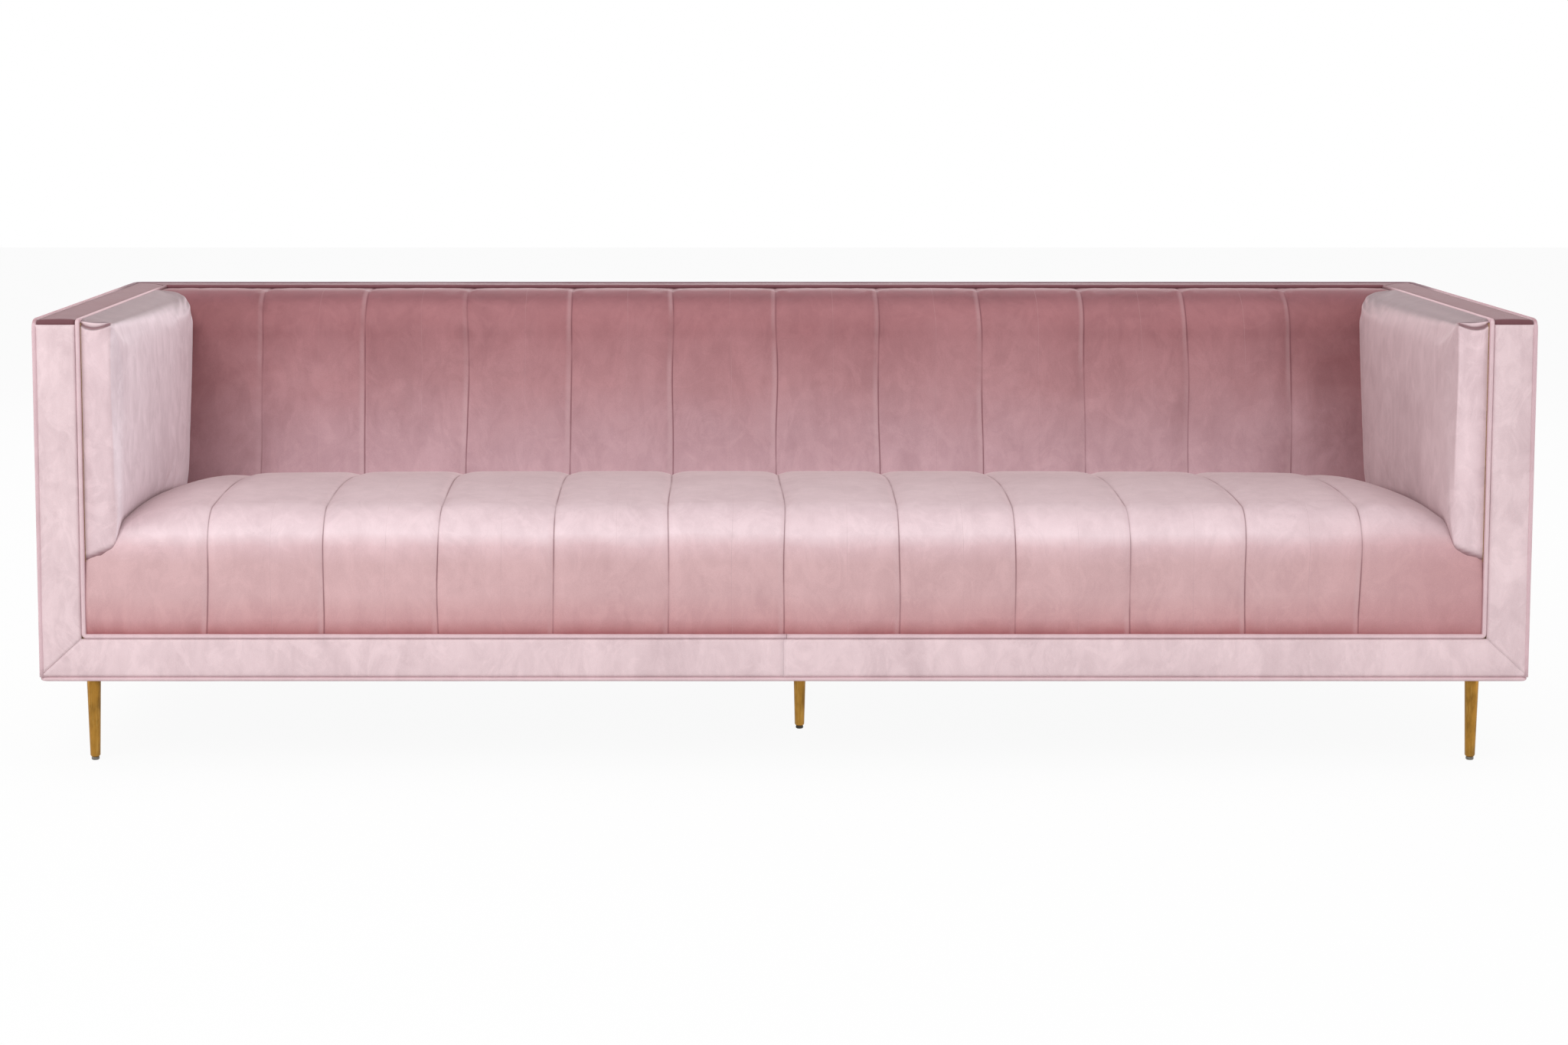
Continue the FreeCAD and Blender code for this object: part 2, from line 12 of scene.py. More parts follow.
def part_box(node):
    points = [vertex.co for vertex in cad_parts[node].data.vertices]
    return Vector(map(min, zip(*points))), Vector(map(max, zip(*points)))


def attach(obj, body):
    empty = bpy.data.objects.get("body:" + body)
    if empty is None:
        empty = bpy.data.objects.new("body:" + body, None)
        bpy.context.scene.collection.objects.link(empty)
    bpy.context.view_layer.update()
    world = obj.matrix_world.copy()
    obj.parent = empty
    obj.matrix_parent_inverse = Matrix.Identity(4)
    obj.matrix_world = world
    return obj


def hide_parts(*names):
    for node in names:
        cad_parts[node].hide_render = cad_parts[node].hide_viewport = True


bl_info = {
    "name": "Tuxedo Sofa",
    "version": (1, 0, 0),
    "blender": (4, 5, 0),
    "location": "View3D > Sidebar > Sofa",
    "description": "Makes the velvet, piping and brass of a channel-stitched sofa round its frame",
    "category": "Object",
}

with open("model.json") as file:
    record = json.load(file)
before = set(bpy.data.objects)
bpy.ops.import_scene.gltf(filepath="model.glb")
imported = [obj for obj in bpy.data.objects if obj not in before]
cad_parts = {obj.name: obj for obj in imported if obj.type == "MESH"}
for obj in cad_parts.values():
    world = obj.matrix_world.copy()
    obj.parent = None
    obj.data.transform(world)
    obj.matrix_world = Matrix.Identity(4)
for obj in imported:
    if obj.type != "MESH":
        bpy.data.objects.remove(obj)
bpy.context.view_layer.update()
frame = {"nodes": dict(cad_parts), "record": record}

# Planes read from the frame, in metres
SEAT_LOW, SEAT_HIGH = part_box("seat_cover")
BACK_LOW, BACK_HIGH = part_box("back_cover")
PAD_LOW, PAD_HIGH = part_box("arm_pad_cover_right")
SIDE_LOW, SIDE_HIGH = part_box("outside_arm_cover_right")
REAR_LOW, REAR_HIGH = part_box("outside_back_cover")
UPRIGHT_LOW, UPRIGHT_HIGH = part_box("arm_front_border_right")
BASE_LOW, BASE_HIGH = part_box("base_border_right")
TOP_LOW, TOP_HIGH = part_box("arm_top_border_right")
BACK_TOP_LOW, BACK_TOP_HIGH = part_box("back_top_border")
INNER_WELT_LOW, INNER_WELT_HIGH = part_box("inner_welt")
OUTER_WELT_LOW, OUTER_WELT_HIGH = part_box("outer_welt")
BOTTOM_WELT_LOW, BOTTOM_WELT_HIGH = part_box("bottom_welt")
DUST_LOW, DUST_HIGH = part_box("dust_cover")
LEGS = ("front_left", "front_right", "rear_left", "rear_right", "center")
SIDES = (("left", -1), ("right", 1))

# Channels of the seat and back
CHANNELS = 12
PITCH = 0.1875
SEAMS = [(i - CHANNELS / 2) * PITCH for i in range(1, CHANNELS)]
INNER_X = SEAT_HIGH[0]
PANEL_X = INNER_X + 0.002
FRONT_Y = UPRIGHT_LOW[1]
MM = 0.001


def seen(red, green, blue):
    """A colour as it looks on screen, 0 to 255, as linear numbers."""
    def linear(value):
        share = value / 255
        return share / 12.92 if share <= 0.04045 else ((share + 0.055) / 1.055) ** 2.4
    return (linear(red), linear(green), linear(blue), 1.0)


def maths(operation, turned=False):
    """A method that joins a shade and another value by a maths node, the other one first if turned."""
    def join(self, other=0):
        pair = [other, self] if turned else [self, other]
        return self.kit.node("ShaderNodeMath", {"operation": operation}, pair)
    return join


class Shade:
    """A shader socket that can be used in sums, for writing shader maths as expressions."""

    def __init__(self, kit, socket):
        self.kit = kit
        self.socket = socket

    __add__ = maths("ADD")
    __radd__ = maths("ADD", True)
    __sub__ = maths("SUBTRACT")
    __rsub__ = maths("SUBTRACT", True)
    __mul__ = maths("MULTIPLY")
    __rmul__ = maths("MULTIPLY", True)
    __truediv__ = maths("DIVIDE")
    __abs__ = maths("ABSOLUTE")
    most = maths("MAXIMUM")

    def part(self, low, high):
        """0 below low, 1 above high, smooth between."""
        return self.kit.node("ShaderNodeMapRange", {"interpolation_type": "SMOOTHSTEP"},
                             [self, low, high, 0.0, 1.0])


class Kit:
    """A node tree, and the making of nodes in it."""

    def __init__(self, tree):
        self.tree = tree

    def node(self, kind, settings=None, values=(), output=0):
        """A new node: first its settings, then the values or links of its sockets."""
        made = self.tree.nodes.new(kind)
        for name, value in (settings or {}).items():
            if name == "stops":
                self._stops(made.color_ramp, value)
            else:
                setattr(made, name, value)
        pairs = values.items() if isinstance(values, dict) else enumerate(values)
        for key, value in pairs:
            self.give(made.inputs[key], value)
        return Shade(self, made.outputs[output])

    def _stops(self, ramp, stops):
        while len(ramp.elements) < len(stops):
            ramp.elements.new(0.5)
        for element, (position, colour) in zip(ramp.elements, stops):
            element.position = position
            element.color = colour

    def give(self, socket, value):
        """Links a shade to a socket or sets a plain value; None leaves the socket as it is."""
        if isinstance(value, Shade):
            self.tree.links.new(value.socket, socket)
        elif value is not None:
            socket.default_value = value

    def seen_by(self, *rays):
        """1 for a ray of one of the named kinds, otherwise 0."""
        first, *others = [self.node("ShaderNodeLightPath", output=f"Is {ray} Ray") for ray in rays]
        for other in others:
            first = first.most(other)
        return first


class Finish(Kit):
    """One material and the nodes in it."""

    def __init__(self, name):
        self.material = bpy.data.materials.new(name)
        self.material.use_nodes = True
        super().__init__(self.material.node_tree)
        self.shader = self.tree.nodes["Principled BSDF"]
        self.place = self.node("ShaderNodeTexCoord", output="Object")
        self.facing = self.node("ShaderNodeTexCoord", output="Normal")

    def axis(self, vector, index):
        return self.node("ShaderNodeSeparateXYZ", {}, [vector], output=index)

    def stretch(self, scale):
        """Object coordinates multiplied by a scale for each axis."""
        return self.node("ShaderNodeVectorMath", {"operation": "MULTIPLY"}, [self.place, scale])

    def cloud(self, scale, detail=4.0, roughness=0.55, distortion=0.0):
        """Soft noise from 0 to 1; scale is a number for each axis, in patches per metre."""
        return self.node("ShaderNodeTexNoise", {"noise_dimensions": "3D"},
                         {"Vector": self.stretch(scale), "Scale": 1.0, "Detail": detail,
                          "Roughness": roughness, "Distortion": distortion})

    def cells(self, scale, output=0):
        """Cell pattern: the distance from each cell's centre, or with output 1 a colour for each cell."""
        return self.node("ShaderNodeTexVoronoi", {}, {"Vector": self.stretch((scale,) * 3), "Scale": 1.0},
                         output)

    def blend(self, share, first, second, mode="MIX"):
        return self.node("ShaderNodeMix", {"data_type": "RGBA", "blend_type": mode},
                         {0: share, 6: first, 7: second}, 2)

    def ramp(self, value, stops):
        return self.node("ShaderNodeValToRGB", {"stops": stops}, [value])

    def bump(self, height, distance, strength=1.0, under=None):
        return self.node("ShaderNodeBump", {}, {"Strength": strength, "Distance": distance,
                                                "Height": height, "Normal": under})

    def wire(self, **values):
        for name, value in values.items():
            self.give(self.shader.inputs[name.replace("_", " ")], value)
        return self.material


# What the pile's colour is multiplied by where it is brushed away from the eye, flat, and towards it
PILE_SHADES = [(0.0, (0.62, 0.56, 0.58, 1)), (0.5, (1.0, 1.0, 1.0, 1)), (1.0, (1.30, 1.34, 1.33, 1))]
FIBRE_SHADES = [(0.3, (0.25, 0.25, 0.25, 1)), (0.7, (0.9, 0.9, 0.9, 1))]


def nap(finish, tone):
    """Brushed patches, streaks and finger marks of velvet pile, about 0, and its fine fibres."""
    patches = finish.cloud((7.0, 7.0, 5.0), 3.0, 0.5, 0.6)
    streaks = finish.cloud((60.0, 60.0, 9.0), 3.0, 0.6, 0.6)
    blotches = finish.cloud((30.0, 30.0, 18.0), 4.0, 0.62, 0.8)
    marks = finish.cloud((16.0, 16.0, 11.0), 5.0, 0.68, 1.6).part(0.47, 0.60)
    fibres = finish.cloud((900.0, 900.0, 700.0), 2.0, 0.7)
    brushed = (patches - 0.5) * 0.9 + (streaks - 0.5) * 0.28
    brushed = brushed + (blotches - 0.5) * 0.8 + (marks - 0.4) * 0.20
    return brushed * tone, fibres


def velvet(name, colour_at, tone, seams=False):
    """Brushed velvet, with stitch lines if it has seams: painted shade in each stitch groove and a painted
    highlight beside it.

    colour_at(finish) gives the pile's colour over the piece, with any painted light and shade, before
    brushing.
    """
    finish = Finish(name)
    brushed, fibres = nap(finish, tone)
    colour = colour_at(finish)
    colour = finish.blend(1.0, colour, finish.ramp(brushed + 0.5, PILE_SHADES), "MULTIPLY")
    colour = finish.blend(0.10, colour, finish.ramp(fibres, FIBRE_SHADES), "OVERLAY")
    if seams:
        away = finish.node("ShaderNodeAttribute", {"attribute_name": "from_seam"}, output=2)
        inside = 1 - abs(finish.axis(finish.place, 0)).part(SEAMS[-1] + 0.02, SEAMS[-1] + 0.03)
        fade = finish.cloud((3.0, 9.0, 9.0), 2.0).part(0.30, 0.62)
        # Painted shade: darker in the stitch groove right at each seam.
        dark = (1 - abs(away).part(0.0003, 0.0016)) * inside * (0.22 + fade * 0.50)
        # Painted highlight: a paler band on one side of each seam, where the channel rises.
        left = 0 - away
        light = left.part(0.0012, 0.0030) * (1 - left.part(0.0055, 0.0120)) * inside
        colour = finish.blend(light * (0.2 + fade * 0.8) * 0.17, colour, seen(232, 204, 207))
        colour = finish.blend(dark, colour, seen(118, 72, 79))
    pile = finish.bump(fibres, 0.0006, 0.35)
    folds = finish.bump(finish.cloud((24.0, 24.0, 10.0), 3.0, 0.5), 0.004, 0.25, pile)
    rough = 0.62 + brushed * 0.3
    return finish.wire(Base_Color=colour, Roughness=rough, Normal=folds, Sheen_Weight=0.35,
                       Sheen_Roughness=0.35, Sheen_Tint=seen(255, 232, 234), IOR=1.4,
                       Specular_IOR_Level=0.25)


def settings():
    return bpy.context.scene.tuxedo_sofa


def colour_of(name):
    return tuple(getattr(settings(), name)) + (1.0,)


def ragged(finish):
    """A small shift that makes a change of colour uneven, as brushed pile is."""
    return (finish.cloud((6.0, 6.0, 7.0), 5.0, 0.6, 0.5) - 0.5) * 0.30


def facing_painted_light(side_colour, front_colour, top_colour, rear_colour=None):
    """Painted light and shade by facing: one colour for faces that look to the side, one for the front,
    one for the top.

    A rear colour of painted shade takes the place of all three along the top of the back.
    """
    def colour_at(finish):
        # The colour changes with the way the surface faces: painted light and shade.
        front = (0.0 - finish.axis(finish.facing, 1)).part(0.45, 0.85)
        top = finish.axis(finish.facing, 2).part(0.35, 0.85)
        colour = finish.blend(top, finish.blend(front, side_colour, front_colour), top_colour)
        if rear_colour is None:
            return colour
        behind = finish.axis(finish.place, 1).part(FRONT_Y + 0.60, FRONT_Y + 0.74)
        above = finish.axis(finish.place, 2).part(TOP_Z - 0.03, TOP_Z - 0.015)
        return finish.blend(behind * above, colour, rear_colour)
    return colour_at


def with_painted_fold_shade(colour_at):
    """The same colours with painted shade, darker where the piece's fold attribute says that it lies in a
    fold.
    """
    def colour(finish):
        depth = finish.node("ShaderNodeAttribute", {"attribute_name": "fold"}, output=2)
        # Painted shade in the folds.
        return finish.blend(depth * 0.85, colour_at(finish), seen(122, 78, 84))
    return colour


def seat_colours_with_painted_light(finish):
    """The seat, painted lit and shaded: pale roll as a painted highlight, rosier front whose painted shade
    deepens downwards, soft grey-pink top.
    """
    height = finish.axis(finish.place, 2)
    depth = finish.axis(finish.place, 1)
    low, high = SEAT_LOW[2], SEAT_HIGH[2]
    # Front: painted shade darkening towards the floor, and a painted highlight across the roll.
    front = finish.ramp((height - low) / (high - low) + ragged(finish) * 0.4, [
        (0.0, seen(168, 106, 109)), (0.05, seen(186, 132, 134)), (0.12, seen(201, 154, 156)),
        (0.30, seen(208, 169, 171)), (0.54, seen(208, 171, 173)), (0.67, seen(216, 182, 186)),
        (0.77, seen(230, 206, 211)), (0.88, seen(223, 198, 203)), (1.0, seen(208, 184, 188))])
    # Top: a painted highlight at its front edge and painted shade where it meets the back.
    top = finish.ramp((depth - FRONT_Y) / (SEAT_HIGH[1] - FRONT_Y) + ragged(finish) * 0.3, [
        (0.0, seen(225, 201, 206)), (0.045, seen(216, 191, 196)), (0.10, seen(198, 174, 178)),
        (0.45, seen(192, 170, 173)), (0.70, seen(198, 177, 179)), (0.82, seen(212, 194, 195)),
        (1.0, seen(170, 140, 144))])
    across = finish.axis(finish.place, 0) + ragged(finish) * 0.3
    # Painted shade over the lower front of the right end, the side away from the light.
    front = finish.blend(across.part(0.70, 1.16) * (1 - (height - low).part(0.15, 0.23)) * 0.55, front,
                         seen(178, 124, 128))
    # Painted shade on the top beside the arms.
    shade_beside_arm = abs(across).part(0.86, 1.10) * 0.30
    top = finish.blend(shade_beside_arm, top, seen(160, 130, 135))
    return finish.blend(finish.axis(finish.facing, 2).part(0.45, 0.95), front, top)


def back_colours_with_painted_shade(finish):
    """The back, with painted shade: deeper upwards, beside the arms and over the top roll."""
    height = (finish.axis(finish.place, 2) - BACK_LOW[2]) / (BACK_HIGH[2] - BACK_LOW[2])
    # Painted shade: darker towards the top of the back.
    shade_rising = finish.ramp(height + ragged(finish), [
        (0.0, seen(197, 162, 169)), (0.22, seen(190, 152, 158)), (0.50, seen(178, 132, 136)),
        (0.85, seen(161, 109, 113)), (1.0, seen(154, 102, 106))])
    # Painted shade beside the arms.
    near_arm = abs(finish.axis(finish.place, 0)) + ragged(finish) * 0.5
    shaded = finish.blend(near_arm.part(0.80, 1.12) * 0.62, shade_rising, seen(112, 60, 62))
    # Painted shade over the top roll.
    over = finish.axis(finish.place, 1).part(FRONT_Y + 0.630, FRONT_Y + 0.665)
    return finish.blend(over * 0.90, shaded, seen(130, 80, 86))


def arc_points(piece, count):
    """Points along a straight run of two (y, z) points or an arc through three."""
    points = [np.array(p, float) for p in piece]
    shares = np.linspace(0.0, 1.0, count)[:, None]
    if len(points) == 2:
        return points[0] + (points[1] - points[0]) * shares
    a, b, c = points
    turn = 2 * ((b[0] - a[0]) * (c[1] - a[1]) - (b[1] - a[1]) * (c[0] - a[0]))
    bb = (b - a) @ (b - a)
    cc = (c - a) @ (c - a)
    centre = a + np.array([(c[1] - a[1]) * bb - (b[1] - a[1]) * cc,
                           (b[0] - a[0]) * cc - (c[0] - a[0]) * bb]) / turn
    start, end = (math.atan2(*(p - centre)[::-1]) for p in (a, c))
    if turn < 0 and end > start:
        end -= 2 * math.pi
    if turn > 0 and end < start:
        end += 2 * math.pi
    angles = start + (end - start) * shares[:, 0]
    radius = math.hypot(*(a - centre))
    return centre + radius * np.stack([np.cos(angles), np.sin(angles)], axis=1)


def profile(pieces, counts):
    """One line of (y, z) points through joined pieces, and its outward normals."""
    runs = [arc_points(piece, count)[(0 if i == 0 else 1):]
            for i, (piece, count) in enumerate(zip(pieces, counts))]
    line = np.concatenate(runs)
    along = np.gradient(line, axis=0)
    normal = np.stack([-along[:, 1], along[:, 0]], axis=1)
    return line, normal / np.linalg.norm(normal, axis=1)[:, None]


# Side view of the seat: each point's distance behind the front face and its height, in metres, then the
# share of the end step that moves it back beside the arms and the share of the end drop that sinks it
TOP_Z = OUTER_WELT_HIGH[2]
SEAT_SIDE = {"tuck": (0.003, SEAT_LOW[2] - 0.006, 0.0, 0.0), "bulge": (-MM, 0.295, 0.5, 1 / 3),
             "shoulder": (0.0, 0.366, 1.0, 0.45), "roll": (0.016, 0.403, 1.0, 0.75),
             "brow": (0.075, 0.431, 0.0, 1.0), "crown": (0.230, 0.438, 0.0, 1.15),
             "rear": (0.680, 0.392, 0.0, 0.8)}
SEAT_END_DROP = 0.052
SEAT_END_STEP = 0.006
SEAT_REAR_SLOPE = 0.018
# Side view of the back, as distances behind the front face and heights
BACK_SIDE = {"foot": (0.560, 0.340), "lean": (0.618, TOP_Z - 0.085), "roll": (0.634, TOP_Z - 0.038),
             "head": (0.684, TOP_Z - 0.006), "end": (0.760, TOP_Z - 0.007)}
# Rows of points along each part of a side view, and columns across each channel
SEAT_ROWS = (26, 16, 46)
BACK_ROWS = (40, 18, 10)
COLUMNS = 18
# How the panels are filled: as cloth under pressure, which moves no point further than the cap
FILL_FRAMES = 20
CLOTH_STIFFNESS = 15.0
CLOTH_BENDING = 0.5
SEAT_PRESSURE = 1.2
BACK_PRESSURE = 1.0
PANEL_CAP = {"seat": 0.0015, "back": 0.002}
PANEL_EASE = 0.004
QUILT_WALL = 0.006
SEAM_WAVER = 0.0045


def seat_outline(x):
    """The seat's outline at x: level in the middle, sinking beside the arms, most at the rear."""
    near_arm = max(0.0, (abs(x) - SEAMS[-1]) / (INNER_X - SEAMS[-1])) ** 2
    points = [[FRONT_Y + y + SEAT_END_STEP * near_arm * step, z - SEAT_END_DROP * near_arm * sinking]
              for y, z, step, sinking in SEAT_SIDE.values()]
    points[-1][1] -= SEAT_REAR_SLOPE * (abs(x) / INNER_X) ** 4
    return [points[0:3], points[2:5], points[4:7]]


def back_outline(_):
    """The back pad's outline, which is the same at every x."""
    foot, lean, roll, head, end = ((FRONT_Y + y, z) for y, z in BACK_SIDE.values())
    return [[foot, lean], [lean, roll, head], [head, end]]


def column_places():
    """X of every column of a quilted panel: closer together beside the seams."""
    edges = [-PANEL_X] + SEAMS + [PANEL_X]
    places = [-PANEL_X]
    for left, right in zip(edges, edges[1:]):
        for i in range(1, COLUMNS + 1):
            share = i / COLUMNS
            eased = share - math.sin(2 * math.pi * share) / (2 * math.pi) * 0.55
            places.append(left + (right - left) * eased)
    return np.array(places)


def pillow(x, depth, crease):
    """How far a quilted face lies below its crown at x."""
    away = min(abs(x - seam) for seam in SEAMS)
    return depth * math.exp(-away / 0.013) + crease * math.exp(-away / 0.0025)


def quilted_sheet(outline_at, rows, depth, crease, flat_rows):
    """A grid laid over an outline that runs across the sofa, pinched at every seam.

    The pinch fades out over the last rows: flat_rows of them at the top or rear, a few at the foot.
    """
    places = column_places()
    mesh = bmesh.new()
    from_seam = mesh.verts.layers.float.new("from_seam")
    long = len(places) - 1
    up = sum(rows) - len(rows)
    bmesh.ops.create_grid(mesh, x_segments=long, y_segments=up, size=1.0)
    lines = [profile(outline_at(x), rows) for x in places]
    for vertex in mesh.verts:
        i = round((vertex.co.x + 1) / 2 * long)
        j = round((vertex.co.y + 1) / 2 * up)
        line, normal = lines[i]
        fade = min(1.0, 0.12 + j / 7, 0.12 + max(0, up - j) / flat_rows)
        point = line[j] - normal[j] * pillow(places[i], depth, crease) * fade
        vertex[from_seam] = min((places[i] - seam for seam in SEAMS), key=abs)
        vertex.co = (places[i] + waver(places[i], j / up), point[0], point[1])
    return mesh


def waver(x, share):
    """How far hand sewing lets a seam wander sideways; nothing at the arms."""
    index = round(x / PITCH)
    calm = min(1.0, max(0.0, (INNER_X - abs(x)) / PITCH))
    return SEAM_WAVER * calm * noise.noise(Vector((index * 7.3, share * 3.2, 0.0)))


def held_group(made, is_held):
    """Marks the points that the thread or the tacks hold, for the cloth to hang on."""
    group = made.vertex_groups.new(name="held")
    held = [vertex.index for vertex in made.data.vertices if is_held(vertex)]
    group.add(held, 1.0, "REPLACE")


def puffed(made, pressure, cap, growth=0.0):
    """Swells a piece as filled cloth, keeps the result and lets no point move further than cap."""
    scene = bpy.context.scene
    cloth = made.modifiers.new("Filled", "CLOTH")
    setup = cloth.settings
    setup.quality = 5
    setup.mass = 0.3
    setup.tension_stiffness = CLOTH_STIFFNESS
    setup.compression_stiffness = CLOTH_STIFFNESS
    setup.shear_stiffness = CLOTH_STIFFNESS / 3
    setup.bending_stiffness = CLOTH_BENDING
    setup.use_pressure = True
    setup.uniform_pressure_force = pressure
    setup.shrink_min = -growth
    setup.vertex_group_mass = "held"
    setup.effector_weights.gravity = 0.0
    cloth.collision_settings.use_collision = False
    cloth.point_cache.frame_start = 1
    cloth.point_cache.frame_end = FILL_FRAMES
    for step in range(1, FILL_FRAMES + 1):
        scene.frame_set(step)
    graph = bpy.context.evaluated_depsgraph_get()
    swollen = made.evaluated_get(graph).to_mesh()
    count = len(made.data.vertices)
    before = np.empty(count * 3)
    after = np.empty(count * 3)
    made.data.vertices.foreach_get("co", before)
    swollen.vertices.foreach_get("co", after)
    move = (after - before).reshape(-1, 3)
    size = np.linalg.norm(move, axis=1)
    limit = cap * np.tanh(size / cap) / np.maximum(size, 1e-9)
    made.data.vertices.foreach_set("co", before + (move * limit[:, None]).ravel())
    made.evaluated_get(graph).to_mesh_clear()
    made.modifiers.remove(cloth)
    made.vertex_groups.clear()
    scene.frame_set(1)
    made.data.update()


def filled_panel(made, pressure, cap):
    """Swells a quilted sheet between its seams, then gives it the thickness of velvet and wadding."""
    marks = made.data.attributes["from_seam"].data
    shape = bmesh.new()
    shape.from_mesh(made.data)
    rim = {vertex.index for vertex in shape.verts if vertex.is_boundary}
    shape.free()
    held_group(made, lambda vertex: vertex.index in rim or abs(marks[vertex.index].value) < 1e-5)
    puffed(made, pressure, cap, growth=PANEL_EASE)
    return finish_with(made, QUILT_WALL)


def mesh_data(name, mesh):
    """A bmesh written into mesh data, and freed."""
    data = bpy.data.meshes.new(name)
    mesh.to_mesh(data)
    mesh.free()
    return data


def placed(name, data):
    """A new object in the scene that holds the data."""
    made = bpy.data.objects.new(name, data)
    bpy.context.scene.collection.objects.link(made)
    return made


def piece_of(name, mesh, material, slot, *nodes):
    """A finished piece that rides with the sofa and stands for the named CAD nodes."""
    data = mesh_data(name, mesh)
    data.polygons.foreach_set("use_smooth", [True] * len(data.polygons))
    data.materials.append(material)
    made = placed(name, data)
    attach(made, "root")
    if nodes:
        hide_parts(*nodes)
    return made


def finish_with(made, thickness=0.0, levels=0):
    """Adds a wall thickness inwards and a subdivision to a piece."""
    if thickness:
        wall = made.modifiers.new("Wall", "SOLIDIFY")
        wall.thickness = thickness
        wall.offset = -1.0
    if levels:
        finer = made.modifiers.new("Finer", "SUBSURF")
        finer.levels = levels
        finer.render_levels = levels
    return made


def ribbon(inner, outer, length_steps, width_steps, crown, edge_tuck, ripple=0.0, seed=0.0, ends=0.0):
    """A padded strip between two edge lines, crowned across its width and tucked at both edges.

    inner(t) and outer(t) give the edges' points for t from 0 to 1. The crown fades out over a
    share of the length at both ends.
    """
    mesh = bmesh.new()
    bmesh.ops.create_grid(mesh, x_segments=length_steps, y_segments=width_steps, size=1.0)
    step = 0.5 / length_steps
    for vertex in mesh.verts:
        t = (vertex.co.x + 1) / 2
        w = (vertex.co.y + 1) / 2
        a, b = inner(t), outer(t)
        low, high = max(t - step, 0.0), min(t + step, 1.0)
        along = inner(high).lerp(outer(high), w) - inner(low).lerp(outer(low), w)
        normal = along.cross(b - a).normalized()
        middle = 1 - abs(2 * w - 1)
        rise = crown * (1 - (1 - middle) ** 2) - edge_tuck * (1 - min(1.0, middle / 0.10)) ** 2
        point = a.lerp(b, w)
        wave = noise.noise(Vector((point.x, point.y, point.z)) * 9.0 + Vector((seed, seed, seed)))
        rise += ripple * wave * min(1.0, middle * 4)
        if ends:
            rise *= math.sin(math.pi / 2 * min(1.0, min(t, 1 - t) / ends))
        vertex.co = point + normal * rise
    return mesh


def straight(start, end):
    start, end = Vector(start), Vector(end)
    return lambda t: start.lerp(end, t)


def mirrored_line(line, side):
    """The same line on the left (-1) or right (1) of the sofa."""
    def place(t):
        point = line(t)
        return Vector((point.x * side, point.y, point.z))
    return place


def turned_path(points, radius, steps=6):
    """Points along straight runs with their corners rounded off to a radius."""
    points = [Vector(p) for p in points]
    path = [points[0]]
    for before, corner, after in zip(points, points[1:], points[2:]):
        come = (before - corner).normalized()
        go = (after - corner).normalized()
        reach = min(radius, (before - corner).length / 2, (after - corner).length / 2)
        for i in range(steps + 1):
            t = i / steps
            start, end = corner + come * reach, corner + go * reach
            path.append(start * (1 - t) ** 2 + corner * (2 * t * (1 - t)) + end * t ** 2)
    path.append(points[-1])
    return path


def piping(name, paths, radius, material, node):
    """Round welts along paths, as one mesh, with the faint waver of hand-sewn piping."""
    curve = bpy.data.curves.new(name, "CURVE")
    curve.dimensions = "3D"
    curve.bevel_depth = radius
    curve.bevel_resolution = 3
    curve.use_fill_caps = True
    for path in paths:
        run = curve.splines.new("POLY")
        points = spaced(path, 0.02)
        run.points.add(len(points) - 1)
        for place, point in zip(run.points, points):
            place.co = (*point, 1.0)
            place.radius = 1.0 + 0.05 * noise.noise(point * 14.0)
    carrier = placed(name + "_path", curve)
    bpy.context.view_layer.update()
    graph = bpy.context.evaluated_depsgraph_get()
    data = bpy.data.meshes.new_from_object(carrier.evaluated_get(graph))
    bpy.data.objects.remove(carrier)
    mesh = bmesh.new()
    mesh.from_mesh(data)
    bpy.data.meshes.remove(data)
    bmesh.ops.remove_doubles(mesh, verts=mesh.verts, dist=1e-6)
    bmesh.ops.recalc_face_normals(mesh, faces=mesh.faces)
    return piece_of(name, mesh, material, "velvet_welt", node)


def spaced(path, longest):
    """The same path with extra points, so that no run is longer than longest."""
    points = [path[0]]
    for start, end in zip(path, path[1:]):
        runs = max(1, math.ceil((end - start).length / longest))
        points += [start.lerp(end, i / runs) for i in range(1, runs + 1)]
    return points


def turned(name, outline, place, steps, material, slot, *nodes):
    """A piece turned on a lathe: (radius, height) points spun round an upright axis at place."""
    mesh = bmesh.new()
    made = [mesh.verts.new((radius, 0.0, height)) for radius, height in outline]
    edges = [mesh.edges.new(pair) for pair in zip(made, made[1:])]
    bmesh.ops.spin(mesh, geom=made + edges, cent=(0, 0, 0), axis=(0, 0, 1), angle=2 * math.pi,
                   steps=steps, use_merge=True)
    bmesh.ops.remove_doubles(mesh, verts=mesh.verts, dist=1e-6)
    bmesh.ops.recalc_face_normals(mesh, faces=mesh.faces)
    bmesh.ops.translate(mesh, verts=mesh.verts, vec=place)
    return piece_of(name, mesh, material, slot, *nodes)


